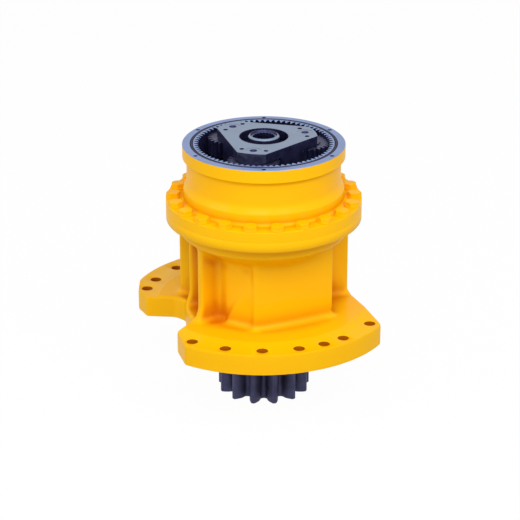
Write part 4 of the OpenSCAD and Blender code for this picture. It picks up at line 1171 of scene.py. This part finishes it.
class GEAR_OT_carrier(bpy.types.Operator):
    """Dress the first carrier and its pins: bright turned faces, dark sides, dimpled pin ends"""

    bl_idname = "gear.carrier"
    bl_label = "First carrier"

    def execute(self, context):
        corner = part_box("carrier_1")[1]
        face_z = corner.z - 2.5 * MM
        side_z = corner.z - 17 * MM
        side_r = corner.y - 3 * MM
        plate = dress("carrier_1", 0.9 * MM)

        # Sides away from the top rim take the darker steel of oil and painted shade
        def carrier_finish(place, normal):
            if normal.z > 0.3 and place.z > face_z:
                return "turned_steel"
            rim = place.z > side_z and math.hypot(place.x, place.y) > side_r
            return "hobbed_steel" if rim else "oil_and_shade_dark"

        painted_by(plate, ["turned_steel", "hobbed_steel", "oil_and_shade_dark"], carrier_finish)
        finished(plate, "carrier_plate", "first_carrier", "carrier_1")
        low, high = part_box("planet_1_a")
        middle = (low + high) / 2
        first = math.degrees(math.atan2(middle.x, -middle.y))
        planets = 3
        dimple_r = 8.5 * MM
        dimple_end_r = 1.5 * MM
        pins = dress("stage_1_pins", 1.6 * MM)
        dimple = cylinder(dimple_end_r, corner.z - 8 * MM, corner.z + 1 * MM, top=dimple_r)
        cut(pins, around(dimple, planets, middle.xy.length, first))
        pin_z = corner.z - 2 * MM

        # The pins' dimples and sides take the dark steel of oil and painted shade
        def pin_finish(place, normal):
            return "turned_steel" if normal.z > 0.95 and place.z > pin_z else "oil_and_shade_dark"

        painted_by(pins, ["turned_steel", "oil_and_shade_dark"], pin_finish)
        finished(pins, "planet_pins", "first_carrier", "stage_1_pins")
        return {"FINISHED"}


# Stage


# Pixels across the photo that the camera matches
PHOTO_WIDTH = 520


class GEAR_PG_stage(bpy.types.PropertyGroup):
    distance: length("Camera distance", 3978.6, "From the point that the camera looks at")
    aim_height: length("Aim height", 153.5, "Height of that point on the output axis")
    elevation: amount(
        "Elevation", math.radians(22.8), "Camera's angle above the horizon", subtype="ANGLE"
    )
    lens: amount("Lens", 138.46, "Focal length for a frame 36 mm wide", unit="CAMERA")
    off_x: amount("Off centre", 3.8 / PHOTO_WIDTH, "Axis right of the middle, in frame widths")
    off_y: amount("Off middle", 5.6 / PHOTO_WIDTH, "Aim above the middle, in frame widths")
    floor: colour("Floor", (0.5, 0.5, 0.5), "Plain pale floor, as it lights the object from below")
    seen_floor: colour("Seen floor", (0.95, 0.95, 0.95), "The floor as it looks from the camera")
    floor_glow: amount("Floor glow", 0.97, "Share of plain white in the floor that is seen")
    ambient: amount("Ambient", 0.55, "Light from all around")
    key: amount("Key", 35.0, "Watts of the soft light at front right", unit="POWER")
    front: amount("Front", 29.0, "Watts of the soft light in front", unit="POWER")
    fill: amount("Fill", 14.0, "Watts of the light at front left", unit="POWER")


def area_light(name, place, aim, size, watts):
    data = bpy.data.lights.new(name, "AREA")
    data.shape = "RECTANGLE"
    data.size, data.size_y = size
    data.energy = watts
    lamp = bpy.data.objects.new(name, data)
    bpy.context.scene.collection.objects.link(lamp)
    lamp.visible_camera = False
    lamp.location = place
    lamp.rotation_euler = (Vector(aim) - Vector(place)).to_track_quat("-Z", "Y").to_euler()
    return lamp


class Sky(Finish):
    """The world's nodes, added by the same calls as a material's."""

    def __init__(self, world):
        world.use_nodes = True
        self.tree = world.node_tree
        self.tree.nodes.clear()


def looked_at(f):
    """1 where the camera, a metal or a glass looks at the surface, and 0 where it only lights."""
    camera, glossy, through = (
        f.node("ShaderNodeLightPath", {}, output=f"Is {ray} Ray")
        for ray in ("Camera", "Glossy", "Transmission")
    )
    return camera.math("MAXIMUM", camera.math("MAXIMUM", camera, glossy), through)


class GEAR_OT_stage(bpy.types.Operator):
    """Add the pale floor, the soft lights and the camera"""

    bl_idname = "gear.stage"
    bl_label = "Stage"

    def execute(self, context):
        s = context.scene.gear_stage
        white = (1.0, 1.0, 1.0, 1.0)
        gap = 0.5 * MM
        context.scene.world = bpy.data.worlds.new("studio")
        sky = Sky(context.scene.world)
        dim = sky.node("ShaderNodeBackground", {}, white, s.ambient)
        bright = sky.node("ShaderNodeBackground", {}, white, 1.0)
        mix = sky.node("ShaderNodeMixShader", {}, looked_at(sky), dim, bright)
        sky.node("ShaderNodeOutputWorld", {}, mix)
        bpy.ops.object.select_all(action="DESELECT")
        bpy.ops.mesh.primitive_plane_add(size=30.0, location=(0, 0, CAD_BOX[0].z - gap))
        floor = context.object
        floor.name = "floor"
        f = Finish("floor")
        seen = looked_at(f)
        tone = f.mix(seen, tuple(s.floor), tuple(s.seen_floor))
        lit = f.node("ShaderNodeBsdfDiffuse", {}, tone)
        glow = f.node("ShaderNodeEmission", {}, white, 1.0)
        mix = f.node("ShaderNodeMixShader", {}, seen * s.floor_glow, lit, glow)
        f.node("ShaderNodeOutputMaterial", {}, mix)
        floor.data.materials.append(f.material)
        aim = Vector((0.0, 0.0, s.aim_height))
        area_light("key", (1.4, -1.8, 2.3), aim, (1.4, 1.4), s.key)
        area_light("front_soft", (-0.3, -2.2, 2.2), aim, (1.5, 1.5), s.front)
        area_light("left_fill", (-2.3, -1.0, 1.3), aim, (1.4, 1.4), s.fill)
        data = bpy.data.cameras.new("camera")
        data.lens = s.lens
        data.sensor_width = 36.0
        data.shift_x = -s.off_x
        data.shift_y = -s.off_y
        data.clip_start = 0.05
        data.clip_end = 60.0
        camera = bpy.data.objects.new("camera", data)
        context.scene.collection.objects.link(camera)
        back = Vector((0.0, -math.cos(s.elevation), math.sin(s.elevation)))
        camera.location = aim + back * s.distance
        camera.rotation_euler = (-back).to_track_quat("-Z", "Y").to_euler()
        context.scene.camera = camera
        context.scene.view_settings.view_transform = "Standard"
        return {"FINISHED"}


class GEAR_PT_panel(bpy.types.Panel):
    """Lists the steps that build the gearbox"""

    bl_label = "Swing gearbox"
    bl_idname = "GEAR_PT_panel"
    bl_space_type = "VIEW_3D"
    bl_region_type = "UI"
    bl_category = "Gearbox"

    def draw(self, context):
        for step in STEPS:
            self.layout.operator(step.bl_idname)


STEPS = (
    GEAR_OT_inner, GEAR_OT_casting, GEAR_OT_ring, GEAR_OT_bolts, GEAR_OT_pinion, GEAR_OT_train,
    GEAR_OT_carrier, GEAR_OT_stage,
)
GROUPS = {
    "gear_colours": GEAR_PG_colours,
    "gear_casting": GEAR_PG_casting,
    "gear_ring": GEAR_PG_ring,
    "gear_pinion": GEAR_PG_pinion,
    "gear_stage": GEAR_PG_stage,
}
CLASSES = (*GROUPS.values(), *STEPS, GEAR_PT_panel)


def register():
    for cls in CLASSES:
        bpy.utils.register_class(cls)
    for name, group in GROUPS.items():
        setattr(bpy.types.Scene, name, bpy.props.PointerProperty(type=group))


def unregister():
    for name in GROUPS:
        delattr(bpy.types.Scene, name)
    for cls in reversed(CLASSES):
        bpy.utils.unregister_class(cls)


def main():
    register()
    bpy.ops.gear.inner()
    bpy.ops.gear.casting()
    bpy.ops.gear.ring()
    bpy.ops.gear.bolts()
    bpy.ops.gear.pinion()
    bpy.ops.gear.train()
    bpy.ops.gear.carrier()
    bpy.ops.gear.stage()


if __name__ == "__main__":
    main()
